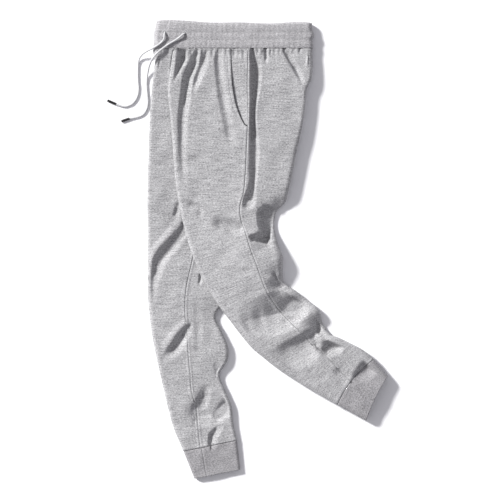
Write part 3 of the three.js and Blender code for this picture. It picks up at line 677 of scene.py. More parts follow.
def to_frame(points):
    moved = np.array(points, dtype=float)
    moved[..., 0] = points[..., 0] - OVERALL_WIDTH / 2
    moved[..., 1] = OVERALL_LENGTH / 2 - points[..., 1]
    return moved / 1000


def evened(points, count, closed=False):
    if closed:
        points = np.concatenate([points, points[:1]])
    steps = np.linalg.norm(np.diff(points, axis=0), axis=1)
    run = np.concatenate([[0], np.cumsum(steps)])
    stops = np.linspace(0, run[-1], count + 1)[:-1] if closed else np.linspace(0, run[-1], count)
    even = np.stack([np.interp(stops, run, points[:, k]) for k in range(3)], axis=-1)
    return even, stops


def grid_mesh(name, grid, across_m, closed=False, skip=None):
    rows, cols = grid.shape[:2]
    index = np.arange(rows * cols).reshape(rows, cols)
    if closed:
        index = np.concatenate([index, index[:, :1]], axis=1)
    quads = np.stack([index[:-1, :-1], index[1:, :-1], index[1:, 1:], index[:-1, 1:]], axis=-1).reshape(-1, 4)
    lengths = np.linalg.norm(np.diff(grid, axis=0), axis=-1).mean(axis=1)
    down_m = np.concatenate([[0], np.cumsum(lengths)])
    u = across_m if not closed else np.concatenate([across_m, 2 * across_m[:, -1:] - across_m[:, -2:-1]], axis=1)
    v = np.repeat(down_m[:, None], u.shape[1], axis=1)
    uv = np.stack([u, v], axis=-1)
    corner = np.stack([uv[:-1, :-1], uv[1:, :-1], uv[1:, 1:], uv[:-1, 1:]], axis=-2).reshape(-1, 4, 2)
    if skip is not None:
        keep = ~skip(grid.reshape(-1, 3)[quads].mean(axis=1))
        quads, corner = quads[keep], corner[keep]
    mesh = bpy.data.meshes.new(name)
    mesh.from_pydata(grid.reshape(-1, 3).tolist(), [], quads.tolist())
    layer = mesh.uv_layers.new(name="UVMap")
    layer.data.foreach_set("uv", corner.reshape(-1).astype(np.float32))
    mesh.polygons.foreach_set("use_smooth", np.ones(len(mesh.polygons), dtype=bool))
    mesh.update()
    obj = bpy.data.objects.new(name, mesh)
    bpy.context.scene.collection.objects.link(obj)
    return obj


def thicken(obj, thickness):
    shell = obj.modifiers.new("thickness", "SOLIDIFY")
    shell.thickness = thickness / 1000
    shell.offset = -1
    shell.use_even_offset = False


def grid_normals(grid, closed=False):
    along = np.gradient(grid, axis=0)
    if closed:
        around = (np.roll(grid, -1, axis=1) - np.roll(grid, 1, axis=1)) / 2
    else:
        around = np.gradient(grid, axis=1)
    normal = np.cross(along, around)
    return normal / np.maximum(np.linalg.norm(normal, axis=-1, keepdims=True), 1e-9)


def ring_grid(rows, turns_for, columns):
    grid, across = [], []
    for row in rows:
        turn = turns_for(row)
        points = row.points(np.linspace(turn[0], turn[1], DENSE), front_detail)
        even, stops = evened(points, columns)
        grid.append(to_frame(even))
        across.append(stops / 1000)
    return np.array(grid), np.array(across)


ROW_STEP = 3.0


def places_along(track, first, last, names):
    a_name, d_name = names
    fine = np.linspace(first, last, 900)
    at = track.at(fine)
    run = np.concatenate([[0], np.cumsum(np.hypot(np.diff(at[a_name]), np.diff(at[d_name])))])
    return np.interp(np.linspace(0, run[-1], int(run[-1] / ROW_STEP) + 1), run, fine)


top_rows = [TopRow(place) for place in places_along(top_leg, 0, TOP_CUFF_ROW, ("seamA", "seamD"))]
bottom_rows = [BottomRow(place) for place in places_along(bottom_leg, 0, BOTTOM_CUFF_ROW, ("inner", "down"))]
print("rows of the top leg's cloth:", len(top_rows), "bottom:", len(bottom_rows))

# %% [markdown]
# Seams: a flat-felled or double-needle seam pulls the two panels into a shallow groove
# with tiny puckers. The panels are lowered towards such an edge along their own normal.

# %% Seam grooves and the leg panels
GROOVE_DEPTH = 0.0006
HEM_GROOVE_DEPTH = 0.0016
GROOVE_WIDTH = 0.0022
PUCKER = 0.00028
PUCKER_LENGTH = 0.0085


ALLOWANCE = 0.0055
ALLOWANCE_RISE = 0.0009


def seam_shape(distance, along, depth=GROOVE_DEPTH):
    groove = depth * np.exp(-((distance / GROOVE_WIDTH) ** 2))
    near = np.exp(-((distance / (3.5 * GROOVE_WIDTH)) ** 2))
    wander = np.sin(along / PUCKER_LENGTH * 6.28 + 2 * np.sin(along * 70))
    folded = ALLOWANCE_RISE * smooth(4 * (1 - distance / ALLOWANCE))
    return groove + PUCKER * near * wander - folded


def with_seams(grid, across, closed=False):
    lengths = np.linalg.norm(np.diff(grid, axis=0), axis=-1).mean(axis=1)
    along = np.concatenate([[0], np.cumsum(lengths)])[:, None]
    low = seam_shape(across, along) + seam_shape(across[:, -1:] - across, along)
    low = low + seam_shape(along[-1] - along + 0 * across, across, HEM_GROOVE_DEPTH)
    return grid - grid_normals(grid, closed) * low[..., None]


def seam_margin(row, low, high):
    return SEAM_GAP / 2 / (row.width * abs(high - low))


def mouth_turn(row):
    if row.frontD > pocket_mouth.columns["down"][-1]:
        return None
    mouth = pocket_mouth.along("down", row.frontD)["across"]
    return 2 + (row.share(mouth) - row.front_t) / (row.seam_t - row.front_t)


def front_turns(row):
    mouth = mouth_turn(row)
    end = 3 if mouth is None else mouth
    return row.start, end - seam_margin(row, row.front_t, row.seam_t)


def back_turns(row):
    gap = seam_margin(row, row.seam_t, row.back_t)
    return 3 + gap, row.end - gap


def panel(name, rows, turns_for, columns):
    grid, across = ring_grid(rows, turns_for, columns)
    obj = grid_mesh(name, with_seams(grid, across), across)
    thicken(obj, FLEECE)
    return obj, grid


left_front, left_front_grid = panel("left_front_cloth", top_rows, front_turns, 116)
left_back, left_back_grid = panel("left_back_cloth", top_rows, back_turns, 116)


def right_front_turns(row):
    gap = SEAM_GAP / 300
    return gap, row.front_end - gap


def right_back_turns(row):
    gap = SEAM_GAP / 300
    return row.back_start + gap, 6 - gap


right_front, right_front_grid = panel("right_front_cloth", bottom_rows, right_front_turns, 110)
right_back, right_back_grid = panel("right_back_cloth", bottom_rows, right_back_turns, 90)
print("points in the left front panel:", len(left_front.data.vertices))

# %% [markdown]
# The pocket is a slanted slit. Its facing is a strip of the same fleece that lies a
# little lower than the hemmed mouth of the front panel.

# %% Pocket facing
FACING_DROP = 4.2
FACING_DROP_ABOVE = 1.2
OPEN_FROM = 90
OPEN_TO = 150
facing_rows = [row for row in top_rows if mouth_turn(row) is not None]


def facing_turns(row):
    gap = seam_margin(row, row.front_t, row.seam_t)
    return mouth_turn(row) + gap, 3 - gap


facing_grid, facing_across = ring_grid(facing_rows, facing_turns, 16)
facing_down = np.array([row.frontD for row in facing_rows])[:, None]
opened = smooth((facing_down - OPEN_FROM) / (OPEN_TO - OPEN_FROM))
mouth_drop = blend(FACING_DROP_ABOVE, FACING_DROP, opened)
facing_grid[..., 2] -= mouth_drop * np.linspace(1, 0.2, facing_grid.shape[1]) / 1000
left_facing = grid_mesh("left_pocket_facing_cloth", facing_grid, facing_across)
thicken(left_facing, FLEECE)
print("pocket facing rows:", len(facing_rows))

# %% [markdown]
# The waistband is rib knit over a drawcord channel: three channels parted by rows of
# stitching, with small ripples where the elastic has drawn it in. The ribs are real
# geometry, because they are big enough to throw their own shade.

# %% Waistband
BAND = """
  down left right height
   0.6 23   360   19
   2   20.7 363   21
   6   20   363.5 23.4
  14   18.5 364   24.2
  22   16.5 364.6 24
  26.4 15.6 366   23.5
  31   15   368   24.1
  37   15.2 367.6 24.2
  42.9 15.6 364.3 23.6
  47   15   365   24.4
  55   13.5 366   24.6
  62.4 12   365   23.4
"""

BAND_TOP = """
  across drop
   12   1.4
   21   0.6
   44  -1.4
   84   0.4
  143   4.6
  202   4.2
  249   6.2
  279   6.6
  311   4.4
  343   3.8
  368   5.6
"""
BAND_WALL = 4
RIB_PITCH = 2.6
RIB_DEPTH = 0.22
BAND_COLUMNS = 1100
CORD_HOLES = [(38.7, 27.7), (82.5, 29.7)]
CORD_HOLE_RADIUS = 3.5
band_track = Track(BAND)
band_top = Track(BAND_TOP)


def band_ripple(across, down):
    channel = np.sin((down - 2) / 61 * math.pi * 3) ** 2
    drawn = np.sin(across * 2 * math.pi / 12.5 + 1.6 * np.sin(across / 23) + down / 30)
    slow = np.sin(across / 17 + 2 * np.sin(across / 41) + down / 18)
    return (0.22 * drawn + 0.3 * slow) * (0.35 + 0.65 * channel)


def band_ring(row, count):
    radius = row["height"] / 2
    left, right = row["left"] + radius, row["right"] - radius
    turn = np.linspace(0, 4, 2400, endpoint=False)
    l_turn, r_turn = (turn - 1) * math.pi, (turn - 3) * math.pi
    parts = [turn < 1, turn < 2, turn < 3]
    across = np.select(parts, [blend(right, left, turn), left - radius * np.sin(l_turn),
                               blend(left, right, turn - 2)], right + radius * np.sin(r_turn))
    z = np.select(parts, [0 * turn, radius * (1 - np.cos(l_turn)), 2 * radius + 0 * turn],
                  radius * (1 + np.cos(r_turn)))
    wave = band_top.along("across", across)["drop"] * np.clip(1 - row["down"] / 22, 0, 1)
    down = row["down"] + wave
    upper = smooth(z / row["height"] * 3 - 1.6)
    z = z + upper * band_ripple(across, down)
    points = np.stack([across, down + 0 * turn, z], axis=-1)
    return evened(points, count, closed=True)


band_grid, band_across = [], []
for place in np.linspace(0, band_track.last, 34):
    ring, stops = band_ring({k: float(v) for k, v in band_track.at(place).items()}, BAND_COLUMNS)
    band_grid.append(to_frame(ring))
    band_across.append(stops / 1000)
band_grid, band_across = np.array(band_grid), np.array(band_across)
rib = RIB_DEPTH / 1000 * np.cos(band_across * 1000 / RIB_PITCH * 2 * math.pi)
band_normals = grid_normals(band_grid, closed=True)
band_grid = band_grid + band_normals * np.minimum(rib, 0)[..., None] * (band_grid[..., 2:] > 0.001)


def in_cord_hole(middle):
    inside = np.zeros(len(middle), dtype=bool)
    for across, down in CORD_HOLES:
        spot = to_frame(np.array([across, down, 0.0]))
        inside |= (np.hypot(middle[:, 0] - spot[0], middle[:, 1] - spot[1]) < CORD_HOLE_RADIUS / 1000) & (
            middle[:, 2] > 0.012)
    return inside


waistband = grid_mesh("waistband_cloth", band_grid, band_across, closed=True, skip=in_cord_hole)
thicken(waistband, BAND_WALL)
print("waistband points:", len(waistband.data.vertices))

# %% [markdown]
# The cuffs are rings of the same rib, a little thicker than the fleece.

# %% Cuffs
CUFF_WALL = 3
CUFF_COLUMNS = 420
CUFF_ROWS = 26


def cuff_ring(row_type, place, count):
    row = row_type(place)
    points = row.points(np.linspace(0, 6, 1200, endpoint=False), rumples)
    return evened(points, count, closed=True)


CUFF_SEAM_DEPTH = 0.0011
CUFF_SEAM_HALF_WIDTH = 0.0013


def seam_line(grid, seam):
    share = np.linspace(0, 1, len(grid))[:, None]
    places = to_frame(np.array([[*seam[0], 0.0], [*seam[1], 0.0]]))
    middle = blend(places[0, 0], places[1, 0], share)
    near = np.exp(-(((grid[..., 0] - middle) / CUFF_SEAM_HALF_WIDTH) ** 2))
    return CUFF_SEAM_DEPTH * near * (grid[..., 2] > 0.006)


def cuff(name, row_type, first, seam_length, seam):
    grid, across = [], []
    for place in np.linspace(first + SEAM_GAP / seam_length, first + 1, CUFF_ROWS):
        ring, stops = cuff_ring(row_type, place, CUFF_COLUMNS)
        grid.append(to_frame(ring))
        across.append(stops / 1000)
    grid, across = np.array(grid), np.array(across)
    pitch = across[:, -1:] / round(float(across[0, -1]) * 1000 / RIB_PITCH)
    rib = RIB_DEPTH / 1000 * np.cos(across / pitch * 2 * math.pi)
    sunk = np.minimum(rib, 0) * (grid[..., 2] > 0.0015) - seam_line(grid, seam)
    grid = grid + grid_normals(grid, closed=True) * sunk[..., None]
    obj = grid_mesh(name, grid, across, closed=True)
    thicken(obj, CUFF_WALL)
    return obj, grid


LEFT_CUFF_SEAM = [(449, 797), (500, 838)]
RIGHT_CUFF_SEAM = [(120, 944), (132, 1003)]
left_cuff, left_cuff_grid = cuff("left_cuff_cloth", TopRow, TOP_CUFF_ROW, 63, LEFT_CUFF_SEAM)
right_cuff, right_cuff_grid = cuff("right_cuff_cloth", BottomRow, BOTTOM_CUFF_ROW, 62, RIGHT_CUFF_SEAM)
print("cuff points:", len(left_cuff.data.vertices), len(right_cuff.data.vertices))

# %% [markdown]
# The drawcord is a round braid. Its two ends leave the eyelets, cross the end of the
# band and lie on the floor. The braid is a tube whose radius swells where the strands
# of the two directions pass over each other.

# %% Drawcord
CORD_RADIUS = 2.1
TIP_RADIUS = 2.7
LEFT_ROUTE = [(82.5, 29.7, 20), (82.5, 29.8, 25.5), (79, 32.6, 28.6), (66, 42.9, 28.4), (50.6, 52, 28.2),
              (35.2, 62.7, 28), (22, 73.7, 26.5), (12.5, 84.7, 22), (5.5, 98, 14), (1.6, 113, 7),
              (-0.7, 127.6, 3), (-1.3, 141, 2.2), (-0.6, 155, 2.2), (0.8, 169.4, 2.2), (1.2, 182.6, 2.2),
              (-2, 196, 2.2), (-10.4, 207.6, 2.2), (-22, 212.7, 2.2), (-38.6, 215.8, 2.7)]
LEFT_TIP = [(-39, 215.9, 2.7), (-57.2, 222, 2.7)]
RIGHT_ROUTE = [(38.7, 27.7, 20), (38.7, 27.9, 25.5), (38.6, 32, 28.6), (37.6, 42, 28.2), (31.5, 50, 28),
               (22, 57, 26.8), (11, 63, 23), (-1, 68.6, 16.5), (-11.5, 75.5, 10), (-17.6, 84, 5),
               (-20, 95, 2.6), (-20.6, 110, 2.2), (-20.6, 131, 2.2), (-19, 151, 2.2), (-22.4, 168, 2.2),
               (-34.3, 184, 2.2), (-50, 189.4, 2.2), (-68, 184.6, 2.7)]
RIGHT_TIP = [(-68.4, 184.4, 2.7), (-88, 176, 2.7)]
CORD_STEP = 0.0006
CORD_SIDES = 32
BRAID_PITCH = 0.0075
BRAID_STRANDS = 8


def smooth_route(route, step):
    points = to_frame(np.array(route, dtype=float))
    run = np.concatenate([[0], np.cumsum(np.linalg.norm(np.diff(points, axis=0), axis=1))])
    slope = np.gradient(points, run, axis=0)
    stops = np.linspace(0, run[-1], int(run[-1] / step) + 2)
    k = np.clip(np.searchsorted(run, stops, side="right") - 1, 0, len(run) - 2)
    h = (run[k + 1] - run[k])[:, None]
    t = (stops - run[k])[:, None] / h
    start, end = points[k], points[k + 1]
    lead, trail = slope[k] * h, slope[k + 1] * h
    return (start * (1 + 2 * t) * (1 - t) ** 2 + lead * t * (1 - t) ** 2
            + end * t * t * (3 - 2 * t) + trail * t * t * (t - 1))


def frames_along(path):
    tangent = np.gradient(path, axis=0)
    tangent /= np.linalg.norm(tangent, axis=1, keepdims=True)
    side = [np.cross(tangent[0], (0.3, 0.9, 0.1))]
    for direction in tangent[1:]:
        moved = side[-1] - direction * np.dot(side[-1], direction)
        side.append(moved / np.linalg.norm(moved))
    side[0] = side[0] / np.linalg.norm(side[0])
    side = np.array(side)
    return tangent, side, np.cross(tangent, side)


def swept(name, path, radius_for, sides):
    tangent, side, other = frames_along(path)
    run = np.concatenate([[0], np.cumsum(np.linalg.norm(np.diff(path, axis=0), axis=1))])
    angle = np.linspace(0, 2 * math.pi, sides, endpoint=False)
    radius = radius_for(run[:, None], angle[None, :])
    ring = side[:, None] * np.cos(angle)[None, :, None] + other[:, None] * np.sin(angle)[None, :, None]
    grid = path[:, None] + ring * radius[..., None]
    ends = np.repeat(path[[0, -1], None], sides, axis=1)
    grid = np.concatenate([ends[:1], grid, ends[1:]])
    return grid_mesh(name, grid, np.repeat(angle[None, :] * radius.mean(), len(grid), axis=0), closed=True)


def braid(run, angle):
    turn = run / BRAID_PITCH * math.pi
    one = np.cos((angle * BRAID_STRANDS / 2 - turn))
    two = np.cos((angle * BRAID_STRANDS / 2 + turn))
    return CORD_RADIUS / 1000 * (1 + 0.055 * np.maximum(one, two) - 0.03)


def tip_shape(length):
    def radius(run, angle):
        end = np.minimum(run, length - run) / 0.0012
        rim = np.exp(-(((run - 0.0025) / 0.0007) ** 2)) + np.exp(-(((run - length + 0.0025) / 0.0007) ** 2))
        return (TIP_RADIUS * (0.86 + 0.14 * np.sqrt(smooth(end))) - 0.22 * rim) / 1000 + 0 * angle
    return radius


def cord_and_tip(side, route, tip_route):
    path = smooth_route(route, CORD_STEP)
    cord = swept(f"{side}_drawcord_braid", path, braid, CORD_SIDES)
    tip_path = smooth_route(tip_route, 0.0004)
    length = float(np.linalg.norm(tip_path[-1] - tip_path[0]))
    tip = swept(f"{side}_tip_metal", tip_path, tip_shape(length), CORD_SIDES)
    run = float(np.linalg.norm(np.diff(path, axis=0), axis=1).sum())
    return cord, tip, path, run


left_cord, left_tip, left_path, left_run = cord_and_tip("left", LEFT_ROUTE, LEFT_TIP)
right_cord, right_tip, right_path, right_run = cord_and_tip("right", RIGHT_ROUTE, RIGHT_TIP)
print("cord lengths in metres:", round(left_run, 3), round(right_run, 3))

# %% [markdown]
# Stitching is what makes cloth read as sewn. A stitch is a short thread that rises out
# of the cloth and sinks back, and a seam is a row of them along a line on the surface.

# %% Stitch maker
STITCH_PITCH = 0.0034
THREAD_RADIUS = 0.00028
STITCH_SIDES = 5
STITCH_RINGS = 5


def stitches(name, lines):
    vertices, faces = [], []
    for path, normal in lines:
        run = np.concatenate([[0], np.cumsum(np.linalg.norm(np.diff(path, axis=0), axis=1))])
        count = max(1, int(run[-1] / STITCH_PITCH))
        starts = np.arange(count) * run[-1] / count
        share = np.linspace(0, 0.82, STITCH_RINGS)
        at = starts[:, None] + share[None, :] * run[-1] / count
        middle = np.stack([np.interp(at, run, path[:, k]) for k in range(3)], axis=-1)
        up = np.stack([np.interp(at, run, normal[:, k]) for k in range(3)], axis=-1)
        lift = np.sin(share / 0.82 * math.pi) * 2.2 * THREAD_RADIUS - 0.8 * THREAD_RADIUS
        middle = middle + up * lift[None, :, None]
        ahead = np.gradient(middle, axis=1)
        ahead /= np.linalg.norm(ahead, axis=-1, keepdims=True)
        across = np.cross(ahead, up)
        across /= np.linalg.norm(across, axis=-1, keepdims=True)
        angle = np.linspace(0, 2 * math.pi, STITCH_SIDES, endpoint=False)
        ring = across[:, :, None] * np.cos(angle)[:, None] + np.cross(across, ahead)[:, :, None] * np.sin(angle)[:, None]
        points = middle[:, :, None] + ring * THREAD_RADIUS
        base = len(vertices)
        vertices.extend(points.reshape(-1, 3).tolist())
        for s in range(count):
            first = base + s * STITCH_RINGS * STITCH_SIDES
            for r in range(STITCH_RINGS - 1):
                for k in range(STITCH_SIDES):
                    a = first + r * STITCH_SIDES + k
                    b = first + r * STITCH_SIDES + (k + 1) % STITCH_SIDES
                    faces.append((a, b, b + STITCH_SIDES, a + STITCH_SIDES))
            faces.append(tuple(first + k for k in reversed(range(STITCH_SIDES))))
            faces.append(tuple(first + (STITCH_RINGS - 1) * STITCH_SIDES + k for k in range(STITCH_SIDES)))
    mesh = bpy.data.meshes.new(name)
    mesh.from_pydata(vertices, [], faces)
    mesh.polygons.foreach_set("use_smooth", np.ones(len(mesh.polygons), dtype=bool))
    obj = bpy.data.objects.new(name, mesh)
    bpy.context.scene.collection.objects.link(obj)
    return obj


def line_on(grid, inset, from_start, first=0, last=None, closed=False):
    normals = grid_normals(grid, closed)
    path, up = [], []
    for row, normal in list(zip(grid, normals))[first:last]:
        ordered = row if from_start else row[::-1]
        ups = normal if from_start else normal[::-1]
        run = np.concatenate([[0], np.cumsum(np.linalg.norm(np.diff(ordered, axis=0), axis=1))])
        path.append([np.interp(inset, run, ordered[:, k]) for k in range(3)])
        up.append([np.interp(inset, run, ups[:, k]) for k in range(3)])
    return np.array(path), np.array(up)


def row_on(grid, inset, from_start, keep, closed=False):
    normals = grid_normals(grid, closed)
    order = slice(None) if from_start else slice(None, None, -1)
    columns, ups = grid[order], normals[order]
    run = np.cumsum(np.linalg.norm(np.diff(columns, axis=0), axis=-1), axis=0)
    run = np.concatenate([np.zeros((1, grid.shape[1])), run])
    path = np.array([[np.interp(inset, run[:, c], columns[:, c, k]) for k in range(3)]
                     for c in range(grid.shape[1])])
    up = np.array([[np.interp(inset, run[:, c], ups[:, c, k]) for k in range(3)] for c in range(grid.shape[1])])
    return path[keep(path)], up[keep(path)]


# %% Sew the seams
def on_top(path):
    return path[:, 2] > 0.008


pocket_rows = len(facing_rows)
seam_lines = [
    line_on(left_back_grid, 0.0028, True),
    line_on(left_front_grid, 0.0028, False, first=pocket_rows + 1),
    line_on(right_front_grid, 0.0026, False, first=int(len(bottom_rows) * 0.3)),
    line_on(right_back_grid, 0.0026, True, first=int(len(bottom_rows) * 0.3)),
    line_on(left_front_grid, 0.0022, False, last=pocket_rows - 1),
    line_on(left_front_grid, 0.0085, False, last=pocket_rows - 1),
]
for grid in (left_front_grid, left_back_grid, right_front_grid, facing_grid):
    seam_lines.append(row_on(grid, 0.0022, True, on_top))
for grid in (left_front_grid, left_back_grid, right_front_grid, right_back_grid):
    seam_lines.append(row_on(grid, 0.0022, False, on_top))
seam_stitches = stitches("seam_stitches", [line for line in seam_lines if len(line[0]) > 2])


def band_row_line(down):
    place = float(band_track.where("down", down))
    k = place / band_track.last * (len(band_grid) - 1)
    low = int(k)
    high = min(low + 1, len(band_grid) - 1)
    path = blend(band_grid[low], band_grid[high], k - low)
    up = blend(band_normals[low], band_normals[high], k - low)
    keep = path[:, 2] > 0.004
    order = np.argsort(np.unwrap(np.arctan2(path[keep][:, 2] - 0.012, path[keep][:, 0])))[::-1]
    return path[keep][order], up[keep][order]


band_lines = []
for down in (25.4, 27.6, 41.8, 44.1):
    path, up = band_row_line(down)
    band_lines.append((path, up))
band_stitches = stitches("band_stitches", band_lines)
print("stitch faces:", len(seam_stitches.data.polygons) + len(band_stitches.data.polygons))

# %% [markdown]
# Each cord hole is bound with thread: close radial stitches that make a raised ring.

# %% Sewn eyelets
EYELET_THREADS = 34


def eyelet(name, across, down, height):
    centre = to_frame(np.array([across, down, height]))
    turn = np.linspace(0, 2 * math.pi, EYELET_THREADS * 6, endpoint=False)
    angle = np.linspace(0, 2 * math.pi, 14, endpoint=False)
    ring = CORD_HOLE_RADIUS + 1.1
    bulge = 1.15 * (0.86 + 0.14 * np.abs(np.cos(turn * EYELET_THREADS / 2)))
    radius = ring + bulge[:, None] * 1.15 * np.cos(angle)[None, :]
    z = bulge[:, None] * 0.62 * np.sin(angle)[None, :]
    grid = np.stack([radius * np.cos(turn)[:, None], radius * np.sin(turn)[:, None], z], axis=-1) / 1000 + centre
    grid = np.concatenate([grid, grid[:1]])
    return grid_mesh(name, grid, np.repeat(angle[None, :] / 1000, len(grid), axis=0), closed=True)


eyelets = [eyelet(f"eyelet_{k + 1}", across, down, 23.4) for k, (across, down) in enumerate(CORD_HOLES)]
print("eyelets:", len(eyelets))

# %% [markdown]
# Materials are node graphs. A small class keeps the maths readable: values can be added
# and multiplied as if they were numbers, and each step adds the node that does it.

# %% Shader helper
class Value:
    def __init__(self, graph, socket):
        self.graph = graph
        self.socket = socket

    def maths(self, operation, *others):
        inputs = {k: other for k, other in enumerate((self, *others))}
        return self.graph.node("ShaderNodeMath", {"operation": operation}, inputs)

    def __add__(self, other):
        return self.maths("ADD", other)

    def __sub__(self, other):
        return self.maths("SUBTRACT", other)

    def __rsub__(self, other):
        return self.graph.node("ShaderNodeMath", {"operation": "SUBTRACT"}, {0: other, 1: self})

    def __mul__(self, other):
        return self.maths("MULTIPLY", other)

    def __truediv__(self, other):
        return self.maths("DIVIDE", other)

    __radd__ = __add__
    __rmul__ = __mul__


class Graph:
    def __init__(self, name):
        self.material = bpy.data.materials.new(name)
        self.material.use_nodes = True
        self.tree = self.material.node_tree
        self.shader = self.tree.nodes["Principled BSDF"]

    def node(self, kind, settings, inputs, output=0):
        made = self.tree.nodes.new(kind)
        for name, value in settings.items():
            setattr(made, name, value)
        for name, value in inputs.items():
            self.put(made.inputs[name], value)
        return Value(self, made.outputs[output])

    def put(self, socket, value):
        if isinstance(value, Value):
            self.tree.links.new(value.socket, socket)
        else:
            socket.default_value = value

    def uv(self, scale):
        place = self.node("ShaderNodeTexCoord", {}, {}, "UV")
        return self.node("ShaderNodeVectorMath", {"operation": "MULTIPLY"}, {0: place, 1: scale})

    def noise(self, scale, detail=2.0):
        inputs = {"Vector": self.uv(scale), "Scale": 1.0, "Detail": detail, "Roughness": 0.6}
        return self.node("ShaderNodeTexNoise", {"noise_dimensions": "2D"}, inputs)

    def between(self, low, high, share):
        mixer = self.tree.nodes.new("ShaderNodeMix")
        mixer.data_type = "RGBA"
        self.put(mixer.inputs[0], share)
        self.put(mixer.inputs[6], low)
        self.put(mixer.inputs[7], high)
        return Value(self, mixer.outputs[2])

    def sharpen(self, value, low, high):
        inputs = {"Value": value, "From Min": low, "From Max": high}
        return self.node("ShaderNodeMapRange", {"clamp": True}, inputs)

    def set(self, name, value):
        self.put(self.shader.inputs[name], value)


# %% [markdown]
# Heather yarn is spun from light and dark fibres, so the jersey shows short flecks and
# faint streaks that run along its courses, across the leg. The brushed face is matt.

# %% Cloth materials
def heather(name, light, mid, dark, knit_scale, bump, streaks):
    graph = Graph(name)
    fleck = graph.sharpen(graph.noise((260, 620, 1), 2.0), 0.34, 0.66)
    fine = graph.sharpen(graph.noise((700, 1600, 1), 2.0), 0.34, 0.66)
    streak = graph.sharpen(graph.noise((34, 420, 1), 3.0), 0.32, 0.68)
    broad = graph.noise((14, 26, 1), 2.0)
    share = graph.sharpen(fleck * 0.46 + fine * 0.28 + streak * streaks + broad * 0.2, 0.2, 1.0)
    body = graph.between(dark, mid, graph.sharpen(share, 0.0, 0.5))
    graph.set("Base Color", graph.between(body, light, graph.sharpen(share, 0.45, 1.0)))
    graph.set("Roughness", 0.92)
    graph.set("Sheen Weight", 0.08)
    graph.set("Sheen Roughness", 0.6)
    loops = graph.noise(knit_scale, 1.0)
    fuzz = graph.noise((2600, 2600, 1), 2.0)
    bumped = graph.node("ShaderNodeBump", {}, {
        "Strength": 0.8, "Distance": bump, "Height": loops * 0.6 + fuzz * 0.2 + fleck * 0.6})
    graph.set("Normal", bumped)
    return graph.material


LIGHT = (0.572, 0.571, 0.579, 1)
MID = (0.342, 0.340, 0.348, 1)
DARK = (0.135, 0.133, 0.139, 1)
RIB_LIGHT = (0.55, 0.542, 0.556, 1)
RIB_MID = (0.35, 0.344, 0.355, 1)
RIB_DARK = (0.17, 0.166, 0.173, 1)
# The cuffs are the same rib knit as the waistband, but get a darker copy of its colours: this darkening is
# painted shade.
SHADED_CUFF_LIGHT = (0.438, 0.430, 0.444, 1)
SHADED_CUFF_MID = (0.278, 0.272, 0.282, 1)
SHADED_CUFF_DARK = (0.13, 0.126, 0.132, 1)
fleece = heather("heather_fleece", LIGHT, MID, DARK, (700, 1100, 1), 0.0006, 0.30)
rib_knit = heather("heather_rib", RIB_LIGHT, RIB_MID, RIB_DARK, (500, 1300, 1), 0.0004, 0.2)
# The cuffs' material is the rib with painted shade in its colours.
shaded_cuff_knit = heather("heather_cuff_painted_shade", SHADED_CUFF_LIGHT, SHADED_CUFF_MID, SHADED_CUFF_DARK, (500, 1300, 1), 0.0004, 0.2)
print("cloth materials made")

# %% Cord, thread and metal
def plain_yarn(name, low, high, scale, bump):
    graph = Graph(name)
    strands = graph.noise(scale, 3.0)
    graph.set("Base Color", graph.between(low, high, strands))
    graph.set("Roughness", 0.85)
    graph.set("Normal", graph.node("ShaderNodeBump", {}, {"Strength": 0.7, "Distance": bump, "Height": strands}))
    return graph.material


cord_yarn = plain_yarn("braided_cotton", (0.40, 0.40, 0.41, 1), (0.66, 0.66, 0.67, 1), (1500, 900, 1), 0.0003)
thread = plain_yarn("sewing_thread", (0.34, 0.34, 0.35, 1), (0.52, 0.52, 0.53, 1), (2000, 2000, 1), 0.0001)


def gunmetal():
    graph = Graph("gunmetal")
    scratches = graph.noise((300, 4000, 1), 4.0)
    graph.set("Base Color", graph.between((0.035, 0.035, 0.037, 1), (0.075, 0.074, 0.072, 1), scratches))
    graph.set("Metallic", 1.0)
    graph.set("Roughness", scratches * 0.25 + 0.28)
    return graph.material


metal = gunmetal()
FINISH = {
    fleece: [left_front, left_back, left_facing, right_front, right_back],
    rib_knit: [waistband],
    shaded_cuff_knit: [left_cuff, right_cuff],
    cord_yarn: [left_cord, right_cord],
    thread: [seam_stitches, band_stitches, *eyelets],
    metal: [left_tip, right_tip],
}
for material, things in FINISH.items():
    for thing in things:
        thing.data.materials.append(material)
print("materials on", sum(len(things) for things in FINISH.values()), "pieces")
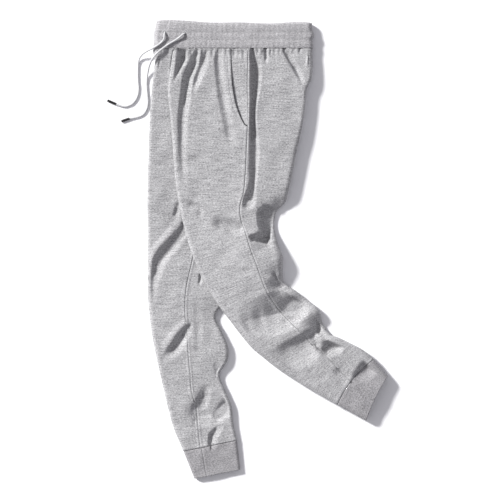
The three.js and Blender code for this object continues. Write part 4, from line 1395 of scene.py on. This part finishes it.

# %% [markdown]
# Now each piece stands in for its plain solid: the plain solid is hidden, and the piece is attached to the root
# body.

# %% Stand in for the plain solids
SLOTS = {
    "left_front_panel": (left_front, "fleece"),
    "left_back_panel": (left_back, "fleece"),
    "left_pocket_facing": (left_facing, "fleece"),
    "right_front_panel": (right_front, "fleece"),
    "right_back_panel": (right_back, "fleece"),
    "waistband": (waistband, "rib_knit"),
    "left_cuff": (left_cuff, "rib_knit"),
    "right_cuff": (right_cuff, "rib_knit"),
    "left_drawcord": (left_cord, "cord"),
    "right_drawcord": (right_cord, "cord"),
    "left_cord_tip": (left_tip, "tip_metal"),
    "right_cord_tip": (right_tip, "tip_metal"),
}
for node, (piece, slot) in SLOTS.items():
    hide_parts(node)
    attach(piece, "root")
for piece in (seam_stitches, band_stitches, *eyelets):
    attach(piece, "root")


# %% [markdown]
# The photograph is taken from straight above on white, with one soft lamp from the
# upper left and much fill, so shadows are pale and fall to the lower right.

# %% Floor, light and camera
bpy.ops.mesh.primitive_plane_add(size=8, location=(0, 0, -0.0002))
floor = bpy.context.object
floor.name = "floor"
paper = Graph("paper_floor")
paper.set("Base Color", (0.93, 0.93, 0.945, 1))
paper.set("Roughness", 0.9)
floor.data.materials.append(paper.material)

world = bpy.data.worlds.new("soft_room")
world.use_nodes = True
world.node_tree.nodes["Background"].inputs[0].default_value = (0.95, 0.94, 1.0, 1)
world.node_tree.nodes["Background"].inputs[1].default_value = 0.46
bpy.context.scene.world = world

LAMP_HEADING = (-0.82, 0.57)
LAMP_ELEVATION = math.radians(31.5)
sun_data = bpy.data.lights.new("lamp", "SUN")
sun_data.energy = 5.6
sun_data.angle = math.radians(10)
sun_data.color = (1.0, 0.995, 0.985)
sun = bpy.data.objects.new("lamp", sun_data)
towards = Vector((LAMP_HEADING[0] * math.cos(LAMP_ELEVATION), LAMP_HEADING[1] * math.cos(LAMP_ELEVATION),
                  math.sin(LAMP_ELEVATION)))
sun.rotation_euler = towards.to_track_quat("Z", "Y").to_euler()
bpy.context.scene.collection.objects.link(sun)

FRAME_WIDTH = 1.1
CAMERA_HEIGHT = 6.0
SENSOR = 36
camera_data = bpy.data.cameras.new("camera")
camera_data.sensor_width = SENSOR
camera_data.lens = SENSOR * (CAMERA_HEIGHT - 0.02) / FRAME_WIDTH
camera_data.clip_end = 50
camera = bpy.data.objects.new("camera", camera_data)
camera.location = (-0.0384, -0.001, CAMERA_HEIGHT)
bpy.context.scene.collection.objects.link(camera)
bpy.context.scene.camera = camera
bpy.context.scene.view_settings.view_transform = "Standard"
print("camera lens in mm:", round(camera_data.lens))
